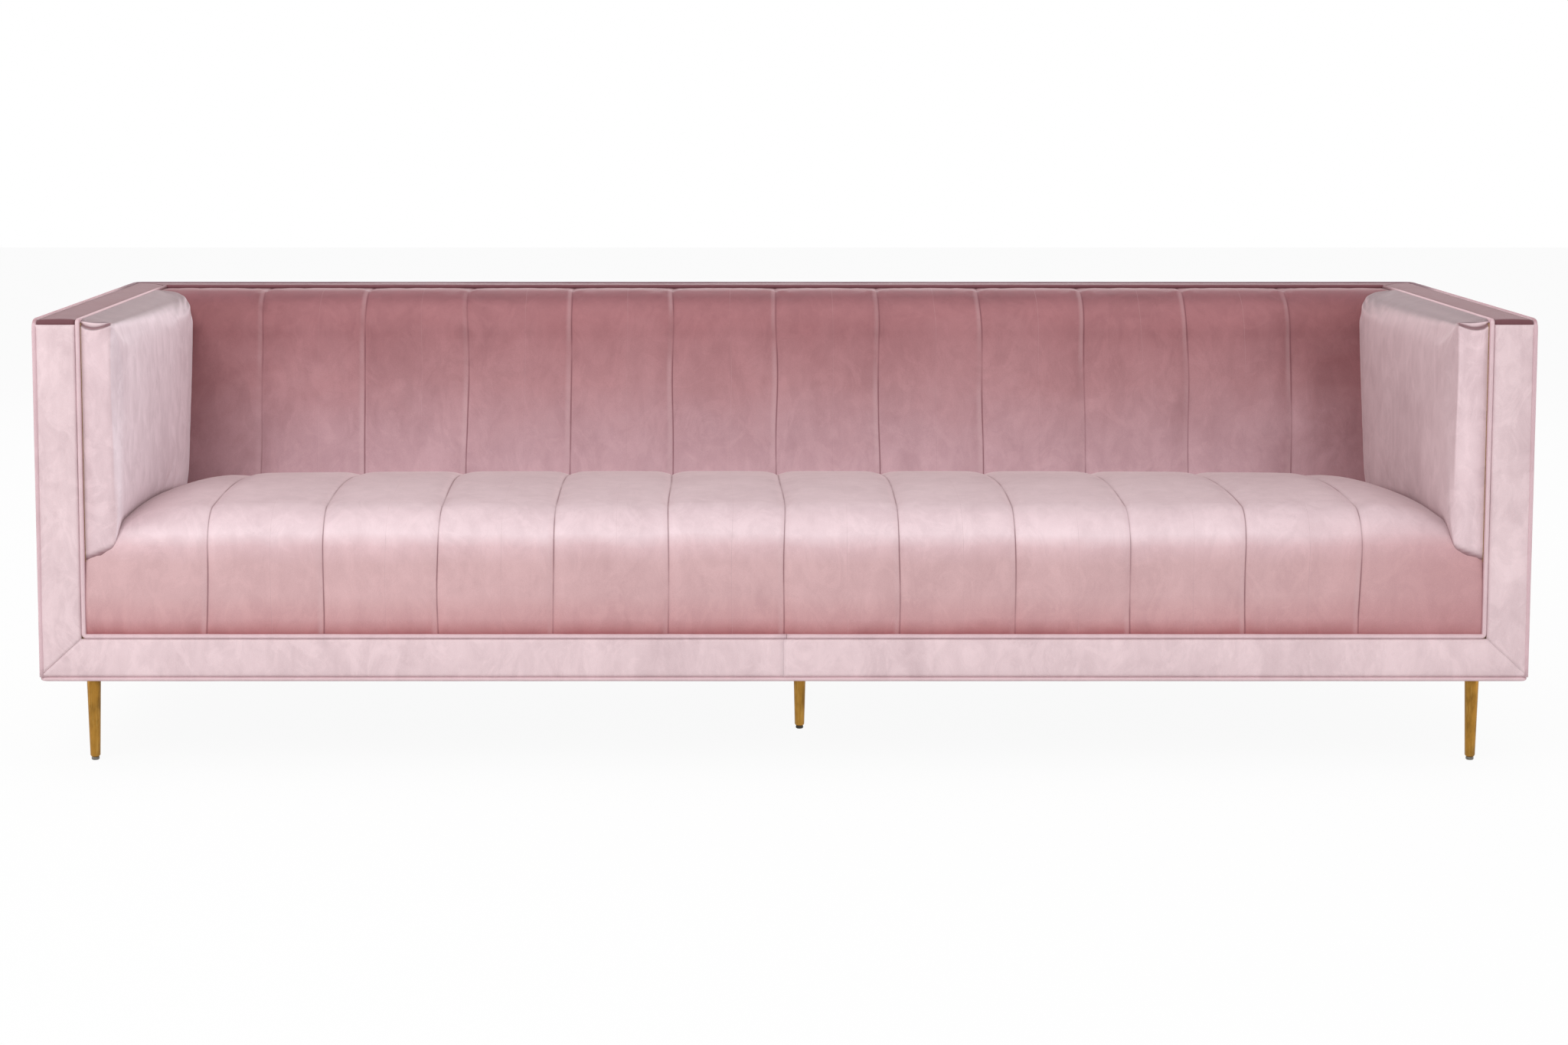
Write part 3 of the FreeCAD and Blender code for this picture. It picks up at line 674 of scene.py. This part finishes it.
class SofaSettings(bpy.types.PropertyGroup):
    """Sizes and colours of the sofa that a user would change."""

    seat_pillow: FloatProperty(
        name="Seat pillow", description="Depth of the seat's channels at a seam",
        default=0.003, unit="LENGTH")
    back_pillow: FloatProperty(
        name="Back pillow", description="Depth of the back's channels at a seam",
        default=0.003, unit="LENGTH")
    crease: FloatProperty(
        name="Crease", description="Extra depth of the stitch line itself",
        default=0.003, unit="LENGTH")
    # Front pink and top pink are one velvet, painted lit and shaded by which way the borders face; side
    # pink is its colour on the outside covers.
    front_lit_pink: FloatVectorProperty(
        name="Front pink", description="Velvet of the borders that look forward",
        default=seen(226, 201, 205)[:3], subtype="COLOR", size=3)
    side_pink: FloatVectorProperty(
        name="Side pink", description="Velvet of the outside of the arms and back",
        default=seen(214, 186, 191)[:3], subtype="COLOR", size=3)
    top_shaded_pink: FloatVectorProperty(
        name="Top pink", description="Velvet of the borders along the top",
        default=seen(108, 68, 74)[:3], subtype="COLOR", size=3)
    brass: FloatVectorProperty(
        name="Brass", description="Metal of the legs",
        default=seen(172, 126, 56)[:3], subtype="COLOR", size=3)


class SOFA_OT_seat(bpy.types.Operator):
    """Make the channel-stitched seat panel"""

    bl_idname = "sofa.seat"
    bl_label = "Seat panel"

    def execute(self, context):
        sofa = settings()
        mesh = quilted_sheet(seat_outline, SEAT_ROWS, sofa.seat_pillow, sofa.crease, 4)
        made = piece_of("seat_panel", mesh, velvet("velvet_seat", seat_colours_with_painted_light, 0.35, True),
                        "velvet", "seat_cover", "seat_foam")
        filled_panel(made, SEAT_PRESSURE, PANEL_CAP["seat"])
        return {"FINISHED"}


class SOFA_OT_back(bpy.types.Operator):
    """Make the channel-stitched back panel"""

    bl_idname = "sofa.back"
    bl_label = "Back panel"

    def execute(self, context):
        sofa = settings()
        mesh = quilted_sheet(back_outline, BACK_ROWS, sofa.back_pillow, sofa.crease, 30)
        made = piece_of("back_panel", mesh, velvet("velvet_back", back_colours_with_painted_shade, 0.45, True),
                        "velvet", "back_cover")
        filled_panel(made, BACK_PRESSURE, PANEL_CAP["back"])
        return {"FINISHED"}


class SOFA_OT_borders(bpy.types.Operator):
    """Make the flat padded borders of the base, arms and back"""

    bl_idname = "sofa.borders"
    bl_label = "Borders"

    def execute(self, context):
        # Painted light and shade: forward-facing borders take the pale front pink, top borders the dark
        # top pink.
        front = velvet("velvet_border", lambda finish: colour_of("front_lit_pink"), 0.48)
        top = velvet("velvet_top", lambda finish: colour_of("top_shaded_pink"), 0.30)
        inner, outer = UPRIGHT_LOW[0], UPRIGHT_HIGH[0]
        y = FRONT_Y
        corner = (SIDE_LOW[0] + 2 * MM, y, BASE_LOW[2])
        seam = UPRIGHT_HIGH[2]
        for name, side in SIDES:
            low = straight((0, y, BASE_LOW[2]), corner)
            high = straight((0, y, BASE_HIGH[2]), (inner, y, BASE_HIGH[2]))
            self.border("base_border_" + name, low, high, side, (150, 12), 1.5 * MM, 3.0, front)
            near = straight((inner, y, BASE_HIGH[2]), (inner, y, seam))
            far = straight(corner, (outer + 3 * MM, y, seam))
            self.border("arm_front_border_" + name, far, near, side, (70, 12), 1.5 * MM, 7.0, front)
            near = top_edge(inner, BACK_TOP_LOW[1])
            far = top_edge(outer, BACK_TOP_HIGH[1])
            self.border("arm_top_border_" + name, far, near, side, (100, 12), 1.2 * MM, 5.0, top)
        z = BACK_TOP_HIGH[2]
        near = straight((-inner, BACK_TOP_LOW[1], z), (inner, BACK_TOP_LOW[1], z))
        far = straight((-outer, BACK_TOP_HIGH[1], z), (outer, BACK_TOP_HIGH[1], z))
        self.border("back_top_border", near, far, 1, (300, 10), 1.2 * MM, 2.0, top)
        return {"FINISHED"}

    def border(self, node, first, second, side, steps, crown, seed, material):
        """A padded strip that stands for a CAD node, between two edges given for the right side."""
        lines = [mirrored_line(line, side) for line in (first, second)][::side]
        mesh = ribbon(*lines, *steps, crown, 0.8 * MM, MM, seed)
        made = piece_of(node, mesh, material, "velvet", node)
        finish_with(made, 4 * MM)


def top_edge(x, rear):
    """An edge of the arm-top border: up over the front edge and back to the mitre."""
    low, high = TOP_LOW[2], TOP_HIGH[2]
    radius = high - low
    points = [Vector((x, FRONT_Y, low))]
    for i in range(1, 7):
        angle = math.pi / 2 * i / 6
        points.append(Vector((x, FRONT_Y + radius * (1 - math.cos(angle)),
                              low + radius * math.sin(angle))))
    end = Vector((x, rear, high))
    turn = 0.10

    def place(t):
        if t < turn:
            share = t / turn * (len(points) - 1)
            i = min(int(share), len(points) - 2)
            return points[i].lerp(points[i + 1], share - i)
        return points[-1].lerp(end, (t - turn) / (1 - turn))
    return place


SIDE_CROWN = 7.5 * MM
REAR_CROWN = 3.0 * MM


class SOFA_OT_outside(bpy.types.Operator):
    """Make the outside arm covers, the outside back and the dust cover"""

    bl_idname = "sofa.outside"
    bl_label = "Outside covers"

    def execute(self, context):
        pile = velvet("velvet_outside", lambda finish: colour_of("side_pink"), 0.45)
        low, high = SIDE_LOW[2], SIDE_HIGH[2]
        edge = SIDE_LOW[0] + 2 * MM
        for name, side in SIDES:
            lines = [mirrored_line(straight((edge, SIDE_LOW[1], z), (edge, SIDE_HIGH[1], z)), side)
                     for z in (low, high)]
            mesh = ribbon(*lines[::side], 110, 76, SIDE_CROWN, 1.5 * MM, 1.5 * MM, 11.0 * side, ends=0.16)
            self.cover("outside_arm_" + name, mesh, pile, "outside_arm_cover_" + name)
        top, bottom = [straight((REAR_LOW[0], REAR_HIGH[1], z), (REAR_HIGH[0], REAR_HIGH[1], z))
                       for z in (high, low)]
        mesh = ribbon(top, bottom, 220, 60, REAR_CROWN, 1.5 * MM, 1.5 * MM, 4.0, ends=0.06)
        self.cover("outside_back", mesh, pile, "outside_back_cover")
        self.dust_cover()
        return {"FINISHED"}

    def cover(self, name, mesh, material, node):
        """A thin velvet cover that stands for a CAD node."""
        made = piece_of(name, mesh, material, "velvet", node)
        finish_with(made, 1.8 * MM)

    def dust_cover(self):
        z = DUST_LOW[2]
        near, far = [straight((DUST_LOW[0], y, z), (DUST_HIGH[0], y, z))
                     for y in (DUST_LOW[1], DUST_HIGH[1])]
        mesh = ribbon(far, near, 160, 50, 0.0, 0.0, 1.5 * MM, 8.0)
        made = piece_of("dust_cloth", mesh, black_cloth(), "black_cloth", "dust_cover")


def speckled(name, noise_of, dark, light, rough, relief):
    """A dull material with fine specks between two colours; noise_of is patches per metre and detail."""
    finish = Finish(name)
    size, *detail = noise_of
    specks = finish.cloud((size,) * 3, *detail)
    return finish.wire(Base_Color=finish.ramp(specks, [dark, light]), Roughness=rough,
                       Normal=finish.bump(specks, *relief))


def black_cloth():
    return speckled("black_cloth", (420.0, 3.0, 0.7), (0.35, seen(26, 26, 28)),
                    (0.7, seen(58, 58, 60)), 0.92, (0.0005, 0.4))


class SOFA_OT_arms(bpy.types.Operator):
    """Make the padded insides of the arms"""

    bl_idname = "sofa.arms"
    bl_label = "Arm pads"

    def execute(self, context):
        right = right_pad()
        left = right.copy()
        bmesh.ops.scale(left, verts=left.verts, vec=(-1, 1, 1))
        # One velvet painted lit and shaded: the left pad's inner face paler, the right one's darker,
        # fronts and tops painted by facing, with painted shade in the folds.
        pad_light_and_shade = {"left": seen(240, 222, 229), "right": seen(196, 170, 174)}
        for name, shape in (("left", left), ("right", right)):
            bmesh.ops.recalc_face_normals(shape, faces=shape.faces)
            colours = with_painted_fold_shade(facing_painted_light(pad_light_and_shade[name], seen(227, 201, 206), seen(130, 110, 114)))
            made = piece_of("arm_pad_" + name, shape, velvet("velvet_arm_" + name, colours, 0.55),
                            "velvet", "arm_pad_cover_" + name, "arm_foam_" + name)
            finish_with(made, 0.0, 1)
        return {"FINISHED"}


# Arm pad, right side, in metres
PAD_FRONT_THICK = 0.053
PAD_REAR_THICK = 0.069
PAD_SWELL = 0.002
PAD_TOP = TOP_Z - 0.002
PAD_OUTER = INNER_X + 0.007
PAD_SINK = 0.008
PAD_CELL = 0.005
PAD_PRESSURE = 4.0
PAD_CAP = 0.006
PAD_BASE = 0.30
PAD_SHOULDER = 0.013
PAD_SHOULDER_GROWTH = 0.030
PAD_NOSE = 0.009
PAD_TAIL = 0.030
TUCK_REACH = 0.030
TUCK_DEPTH = 0.004
LIP_HEIGHT = 0.004
FRONT_SEAM_DEPTH = 0.0016


def seat_top_at(x):
    """The seat's top as (y, z) points, from its front shoulder to its rear."""
    line, _ = profile(seat_outline(x), SEAT_ROWS)
    return line[SEAT_ROWS[0] - 4:]


SEAT_TOPS = [seat_top_at(INNER_X - 0.08 + 0.01 * i) for i in range(9)]


def seat_height_at_arm(x, y):
    """Height of the seat's top under the arm pad."""
    place = min(max((x - INNER_X + 0.08) / 0.01, 0.0), 7.999)
    i = int(place)
    near, far = (float(np.interp(y, top[:, 0], top[:, 1])) for top in SEAT_TOPS[i:i + 2])
    return near + (far - near) * (place - i)


def right_pad():
    """The right pad's mesh: boxed in front, its shoulder rounder to the back, swelled by its foam."""
    front, rear = PAD_LOW[1] - 0.004 + PAD_SWELL, PAD_HIGH[1]
    mesh = bmesh.new()
    bmesh.ops.create_cube(mesh, size=1.0)
    for vertex in mesh.verts:
        at_rear = vertex.co.y > 0
        thick = (PAD_REAR_THICK if at_rear else PAD_FRONT_THICK) - PAD_SWELL
        vertex.co = (PAD_OUTER if vertex.co.x > 0 else INNER_X - thick,
                     rear if at_rear else front, PAD_TOP if vertex.co.z > 0 else PAD_BASE)
    bmesh.ops.recalc_face_normals(mesh, faces=mesh.faces)
    for axis, shortest, cuts in ((1, 0.3, 47), (2, 0.3, 39), (0, 0.03, 9)):
        edges = [edge for edge in mesh.edges
                 if abs(edge.verts[0].co[axis] - edge.verts[1].co[axis]) > shortest]
        bmesh.ops.subdivide_edges(mesh, edges=edges, cuts=cuts, use_grid_fill=True)
    for vertex in mesh.verts:
        vertex.co = pad_point(vertex.co, front, rear)
    made = placed("pad_shape", mesh_data("pad_shape", mesh))
    made.data.remesh_voxel_size = PAD_CELL
    with bpy.context.temp_override(object=made, active_object=made):
        bpy.ops.object.voxel_remesh()
    held_group(made, lambda vertex: pad_is_held(vertex.co, rear))
    puffed(made, PAD_PRESSURE, PAD_CAP)
    shape = bmesh.new()
    shape.from_mesh(made.data)
    bpy.data.objects.remove(made)
    bmesh.ops.smooth_vert(shape, verts=shape.verts, factor=0.5, use_axis_x=True, use_axis_y=True,
                          use_axis_z=True)
    corner = [edge for edge in shape.edges if all(
        v.co.y < front + TUCK_REACH and v.co.z > PAD_TOP - 0.040 for v in edge.verts)]
    bmesh.ops.subdivide_edges(shape, edges=corner, cuts=2, smooth=1.0, use_grid_fill=True)
    # The fold layer holds how much painted shade each point of the pad gets.
    fold = shape.verts.layers.float.new("fold")
    for vertex in shape.verts:
        vertex[fold] = fold_shade_amount(vertex.co, front)
        vertex.co = tucked(vertex.co, front)
    return shape


def pad_is_held(point, rear):
    return (point.x > INNER_X - 0.004 or point.z < seat_height_at_arm(point.x, point.y) + 0.006
            or point.y > rear - 0.006)


def pad_point(point, front, rear):
    """Lays the pad's foot on the seat, and rounds its shoulder, front and rear."""
    along = (point.y - front) / (rear - front)
    floor = seat_height_at_arm(point.x, point.y) - PAD_SINK
    height = floor + (point.z - PAD_BASE) / (PAD_TOP - PAD_BASE) * (PAD_TOP - floor)
    inner = INNER_X - PAD_FRONT_THICK - (PAD_REAR_THICK - PAD_FRONT_THICK) * along + PAD_SWELL
    shoulder = PAD_SHOULDER + PAD_SHOULDER_GROWTH * along
    into, down = on_rounding(point.x - inner, PAD_TOP - height, shoulder)
    ahead, down = on_rounding(point.y - front, down, PAD_NOSE)
    behind, down = on_rounding(rear - front - ahead, down, PAD_TAIL)
    ahead, into = on_rounding(rear - front - behind, into, PAD_NOSE)
    return Vector((inner + into, front + ahead, PAD_TOP - down))


def on_rounding(first, second, radius):
    """A point's depths below two faces that meet at an edge, changed near it to round the edge off."""
    a, b = max(0.0, radius - first), max(0.0, radius - second)
    if a and b:
        shrink = max(a, b) / math.hypot(a, b)
        return radius - a * shrink, radius - b * shrink
    return first, second


def tuck_line(point):
    """How far a point is above the tuck that crosses the pad's top front corner, and where along it."""
    share = (INNER_X - point.x) / PAD_FRONT_THICK
    line = PAD_TOP - 0.0075 - 0.009 * math.sin(math.pi * min(1.0, max(0.0, share)) ** 0.8) + 0.004 * share
    return point.z - line, share


def fold_shade_amount(point, front):
    """How much painted shade a point of the pad gets, 0 to 1, by how deep in a fold it lies: the tuck,
    where pad and seat meet, and a soft line down the front inner edge.
    """
    above, share = tuck_line(point)
    tuck = 0.0
    if point.y < front + TUCK_REACH:
        tuck = math.exp(-(above / 0.0022) ** 2) * min(1.0, max(0.0, 1.0 - share) * 8)
    foot = max(0.0, point.z - seat_height_at_arm(point.x, point.y))
    inner = INNER_X - PAD_FRONT_THICK
    edge = math.hypot(point.x - inner - 0.003, point.y - front - 0.002)
    wobble = 0.55 + 0.45 * noise.noise(Vector((0.0, 0.0, point.z * 14.0)))
    # Painted shade in the tuck, at the pad's foot on the seat and down its front inner edge.
    return max(tuck, math.exp(-(foot / 0.006) ** 2), 0.40 * wobble * math.exp(-(edge / 0.007) ** 2))


def tucked(point, front):
    """Sews the tuck across the pad's top front corner and the soft seam down its front edge."""
    above, share = tuck_line(point)
    if point.y < front + TUCK_REACH:
        point.y += TUCK_DEPTH * math.exp(-(above / 0.0028) ** 2) * min(1.0, max(0.0, 1.05 - share) * 6)
        lip = math.exp(-((share - 0.90) / 0.09) ** 2 - ((above - 0.006) / 0.005) ** 2)
        point.y -= LIP_HEIGHT * lip
        point.x -= 0.003 * lip
    inner = INNER_X - PAD_FRONT_THICK
    edge = math.hypot(point.x - inner - 0.002, point.y - front - 0.001)
    point.y += FRONT_SEAM_DEPTH * math.exp(-(edge / 0.005) ** 2)
    return point


class SOFA_OT_piping(bpy.types.Operator):
    """Make the piping between the panels"""

    bl_idname = "sofa.piping"
    bl_label = "Piping"

    def execute(self, context):
        # Both piping colours are painted light and shade by facing, with painted shade along the top of
        # the back.
        pale = velvet("velvet_piping", facing_painted_light(seen(196, 160, 167), seen(221, 192, 197),
                                                      seen(206, 172, 178), seen(118, 74, 80)), 0.3)
        dusky = velvet("velvet_piping_outer", facing_painted_light(seen(206, 176, 181), seen(214, 182, 188),
                                                             seen(182, 142, 149),
                                                             seen(112, 78, 88)), 0.3)
        radius = (OUTER_WELT_HIGH[0] - UPRIGHT_HIGH[0]) / 2
        x, front = INNER_WELT_HIGH[0] - radius, INNER_WELT_LOW[1] + radius
        rear, top = INNER_WELT_HIGH[1] - radius, INNER_WELT_HIGH[2] - radius
        low = INNER_WELT_LOW[2] + radius
        ring = [(0.004, front, low), (-x, front, low), (-x, front, top), (-x, rear, top), (x, rear, top),
                (x, front, top), (x, front, low), (0.0045, front, low)]
        piping("piping_inner", [turned_path(ring, 0.005)], radius, pale, "inner_welt")
        x, rear = OUTER_WELT_HIGH[0] - radius, OUTER_WELT_HIGH[1] - radius
        low, top = OUTER_WELT_LOW[2], OUTER_WELT_HIGH[2] - radius
        hoop = [(-x, front, low), (-x, front, top), (-x, rear, top), (x, rear, top), (x, front, top),
                (x, front, low)]
        uprights = [turned_path([(side * x, rear, low), (side * x, rear, top - radius)], 0.01)
                    for side in (-1, 1)]
        piping("piping_outer", [turned_path(hoop, 0.016)] + uprights, radius, dusky, "outer_welt")
        radius = (BOTTOM_WELT_HIGH[2] - BOTTOM_WELT_LOW[2]) / 2
        x, y = BOTTOM_WELT_HIGH[0] - radius, BOTTOM_WELT_HIGH[1] - radius
        z = BOTTOM_WELT_LOW[2] + radius
        rim = [(0, y, z), (-x, y, z), (-x, -y, z), (x, -y, z), (x, y, z), (0.0005, y, z)]
        piping("piping_bottom", [turned_path(rim, 0.012)], radius, pale, "bottom_welt")
        return {"FINISHED"}


class SOFA_OT_legs(bpy.types.Operator):
    """Make the tapered brass legs and their glides"""

    bl_idname = "sofa.legs"
    bl_label = "Legs"

    def execute(self, context):
        metal = brass()
        plastic = glide_plastic()
        for name in LEGS:
            low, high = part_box("leg_" + name)
            place = Vector(((low[0] + high[0]) / 2, (low[1] + high[1]) / 2, 0.0))
            radius = (high[0] - low[0]) / 2
            foot = radius * 0.70
            outline = [(0.0, high[2]), (radius - 0.0006, high[2]), (radius, high[2] - 0.0008)]
            outline += [(radius + (foot - radius) * t, high[2] - 0.0008 + (low[2] - high[2] + 0.004) * t)
                        for t in (0.25, 0.5, 0.75, 1.0)]
            outline += [(foot - 0.0012, low[2] + 0.0012), (foot - 0.003, low[2]), (0.0, low[2])]
            turned("leg_tube_" + name, outline, place, 48, metal, "brass", "leg_" + name)
            disc = [(0.0, low[2]), (foot - 0.0025, low[2]), (foot - 0.0018, low[2] - 0.001),
                    (foot - 0.0018, 0.0012), (foot - 0.003, 0.0), (0.0, 0.0)]
            made = turned("glide_" + name, disc, place, 32, plastic, "glide_plastic")
            if name == LEGS[0]:
                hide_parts("leg_glides")
        return {"FINISHED"}


def brass():
    """Brushed antique brass: turning lines and brown tarnish."""
    finish = Finish("brushed_brass")
    lines = finish.cloud((30.0, 30.0, 1400.0), 3.0, 0.6)
    grain = finish.cloud((500.0, 500.0, 16.0), 3.0, 0.6)
    tarnish = finish.cloud((60.0, 60.0, 24.0), 4.0, 0.6)
    colour = finish.blend(tarnish.part(0.35, 0.75), colour_of("brass"), seen(128, 92, 40))
    colour = finish.blend(grain.part(0.5, 0.8) * 0.35, colour, seen(214, 178, 104))
    rough = 0.30 + tarnish * 0.16 + lines * 0.08
    normal = finish.bump(grain + lines * 0.3, 0.0003, 0.3)
    return finish.wire(Base_Color=colour, Metallic=1.0, Roughness=rough, Normal=normal)


def glide_plastic():
    return speckled("glide_plastic", (300.0, 3.0, 0.6), (0.3, seen(104, 100, 92)),
                    (0.8, seen(140, 136, 128)), 0.6, (0.0004, 0.3))


class SOFA_OT_inside(bpy.types.Operator):
    """Finish the frame, springs, foams and fixings that the covers hide"""

    bl_idname = "sofa.inside"
    bl_label = "Inner pieces"

    def execute(self, context):
        makers = {"frame_timber": timber, "foam": foam, "grey_felt": felt, "webbing": webbing,
                  "fibreboard": fibreboard, "spring_steel": spring_steel, "zinc_steel": zinc_steel}
        made = {slot: make() for slot, make in makers.items()}
        for row in frame["record"]["subparts"]:
            if row["material_slot"] in made:
                data = frame["nodes"][row["node"]].data
                data.materials.clear()
                data.materials.append(made[row["material_slot"]])
        return {"FINISHED"}


def timber():
    finish = Finish("frame_timber")
    rings = finish.cloud((4.0, 60.0, 60.0), 5.0, 0.6, 0.8)
    pores = finish.cloud((30.0, 700.0, 700.0), 2.0, 0.6)
    colour = finish.ramp(rings, [(0.25, seen(168, 128, 84)), (0.55, seen(206, 170, 122)),
                                 (0.8, seen(224, 194, 150))])
    colour = finish.blend(pores.part(0.55, 0.8) * 0.4, colour, seen(140, 102, 64))
    return finish.wire(Base_Color=colour, Roughness=0.62, Normal=finish.bump(pores, 0.0005, 0.4))


def foam():
    finish = Finish("cushion_foam")
    cells = finish.cells(420.0)
    colour = finish.ramp(cells, [(0.0, seen(206, 190, 140)), (0.6, seen(240, 228, 188))])
    return finish.wire(Base_Color=colour, Roughness=0.95, Normal=finish.bump(cells, 0.0008, 0.5))


def webbing():
    finish = Finish("woven_webbing")
    ribs = finish.node("ShaderNodeTexWave", {"bands_direction": "Z"},
                       {"Vector": finish.place, "Scale": 160.0, "Distortion": 0.4})
    colour = finish.ramp(ribs, [(0.2, seen(70, 54, 38)), (0.8, seen(134, 108, 78))])
    return finish.wire(Base_Color=colour, Roughness=0.85, Normal=finish.bump(ribs, 0.0006, 0.6))


def felt():
    return speckled("grey_felt", (260.0, 5.0, 0.7, 1.0), (0.3, seen(92, 90, 92)),
                    (0.7, seen(158, 154, 150)), 0.95, (0.001, 0.5))


def fibreboard():
    return speckled("fibreboard", (180.0, 6.0, 0.75), (0.3, seen(134, 104, 70)),
                    (0.7, seen(178, 146, 106)), 0.85, (0.0004, 0.3))


def spring_steel():
    finish = Finish("spring_steel")
    scale = finish.cloud((90.0, 90.0, 90.0), 4.0, 0.6)
    colour = finish.ramp(scale, [(0.3, seen(70, 72, 78)), (0.7, seen(118, 120, 126))])
    return finish.wire(Base_Color=colour, Metallic=1.0, Roughness=0.34 + scale * 0.2)


def zinc_steel():
    finish = Finish("zinc_steel")
    spangle = finish.cells(140.0, 1)
    grey = finish.ramp(spangle, [(0.2, seen(168, 170, 172)), (0.8, seen(204, 206, 208))])
    return finish.wire(Base_Color=grey, Metallic=1.0, Roughness=0.38)


WHITE = (1.0, 1.0, 1.0, 1.0)
FLOOR_WHITENESS = 0.94
WORLD_STRENGTH = 0.42
# Soft square lamps: name, place, point they face, side in metres, power in watts
LAMPS = (
    ("key", (-2.6, -4.2, 4.2), (0, 0, 0.3), 3.4, 165),
    ("fill", (3.6, -3.6, 2.6), (0, 0, 0.4), 3.0, 42),
    ("overhead", (0.0, 0.3, 4.6), (0, 0, 0.2), 4.0, 62),
    ("left", (-4.6, -0.6, 1.0), (-1.2, 0, 0.4), 2.4, 34),
    ("right", (4.6, -0.6, 1.0), (1.2, 0, 0.4), 2.4, 30),
    ("behind", (0.0, 4.6, 2.2), (0, 0, 0.4), 3.4, 60),
)
CAMERA_LENS = 66.47
CAMERA_SHIFT = (0.0464, -0.10)
CAMERA_PLACE = (-0.1184, -5.0603, 1.1298)
CAMERA_PITCH_DOWN = 5.732


class SOFA_OT_stage(bpy.types.Operator):
    """Set the floor, the soft light and the camera"""

    bl_idname = "sofa.stage"
    bl_label = "Floor, light and camera"

    def execute(self, context):
        self.floor()
        self.world()
        for lamp in LAMPS:
            self.lamp(*lamp)
        self.camera()
        context.scene.view_settings.view_transform = "Standard"
        return {"FINISHED"}

    def floor(self):
        mesh = bmesh.new()
        bmesh.ops.create_grid(mesh, x_segments=2, y_segments=2, size=14.0)
        floor = placed("floor", mesh_data("floor", mesh))
        finish = Finish("pale_floor")
        grain = finish.cloud((3.0, 3.0, 3.0), 2.0)
        colour = finish.ramp(grain, [(0.0, (0.80, 0.80, 0.80, 1)), (1.0, (0.84, 0.84, 0.84, 1))])
        finish.wire(Base_Color=colour, Roughness=0.9, Specular_IOR_Level=0.1)
        white = finish.node("ShaderNodeEmission", {}, [WHITE])
        share = finish.seen_by("Camera", "Glossy", "Transmission") * FLOOR_WHITENESS
        grey = Shade(finish, finish.shader.outputs[0])
        mixed = finish.node("ShaderNodeMixShader", {}, [share, grey, white])
        finish.give(finish.tree.nodes["Material Output"].inputs[0], mixed)
        floor.data.materials.append(finish.material)

    def world(self):
        world = bpy.data.worlds.new("studio")
        bpy.context.scene.world = world
        world.use_nodes = True
        kit = Kit(world.node_tree)
        strength = kit.node("ShaderNodeMapRange", {}, {"Value": kit.seen_by("Camera", "Glossy"),
                                                       "To Min": WORLD_STRENGTH, "To Max": 1.0})
        background = kit.tree.nodes["Background"]
        kit.give(background.inputs["Color"], WHITE)
        kit.give(background.inputs["Strength"], strength)

    def lamp(self, name, place, target, size, power):
        light = bpy.data.lights.new(name, "AREA")
        light.shape = "SQUARE"
        light.size = size
        light.energy = power
        lamp = placed(name, light)
        lamp.location = place
        lamp.rotation_euler = (Vector(target) - Vector(place)).to_track_quat("-Z", "Y").to_euler()

    def camera(self):
        camera = placed("camera", bpy.data.cameras.new("camera"))
        camera.data.lens = CAMERA_LENS
        camera.data.shift_x, camera.data.shift_y = CAMERA_SHIFT
        camera.data.sensor_width = 36.0
        camera.location = CAMERA_PLACE
        camera.rotation_euler = (math.radians(90 - CAMERA_PITCH_DOWN), 0.0, 0.0)
        bpy.context.scene.camera = camera


class SOFA_PT_panel(bpy.types.Panel):
    """Buttons for every group of pieces"""

    bl_label = "Tuxedo Sofa"
    bl_space_type = "VIEW_3D"
    bl_region_type = "UI"
    bl_category = "Sofa"

    def draw(self, context):
        sofa = context.scene.tuxedo_sofa
        for name in SofaSettings.__annotations__:
            self.layout.prop(sofa, name)
        for operator in OPERATORS:
            self.layout.operator(operator.bl_idname)


OPERATORS = (SOFA_OT_stage, SOFA_OT_seat, SOFA_OT_back, SOFA_OT_arms, SOFA_OT_borders, SOFA_OT_outside,
             SOFA_OT_piping, SOFA_OT_legs, SOFA_OT_inside)
CLASSES = (SofaSettings,) + OPERATORS + (SOFA_PT_panel,)


def register():
    for item in CLASSES:
        bpy.utils.register_class(item)
    bpy.types.Scene.tuxedo_sofa = PointerProperty(type=SofaSettings)


def unregister():
    del bpy.types.Scene.tuxedo_sofa
    for item in reversed(CLASSES):
        bpy.utils.unregister_class(item)


def main():
    register()
    for operator in OPERATORS:
        group, name = operator.bl_idname.split(".")
        getattr(getattr(bpy.ops, group), name)()


if __name__ == "__main__":
    main()
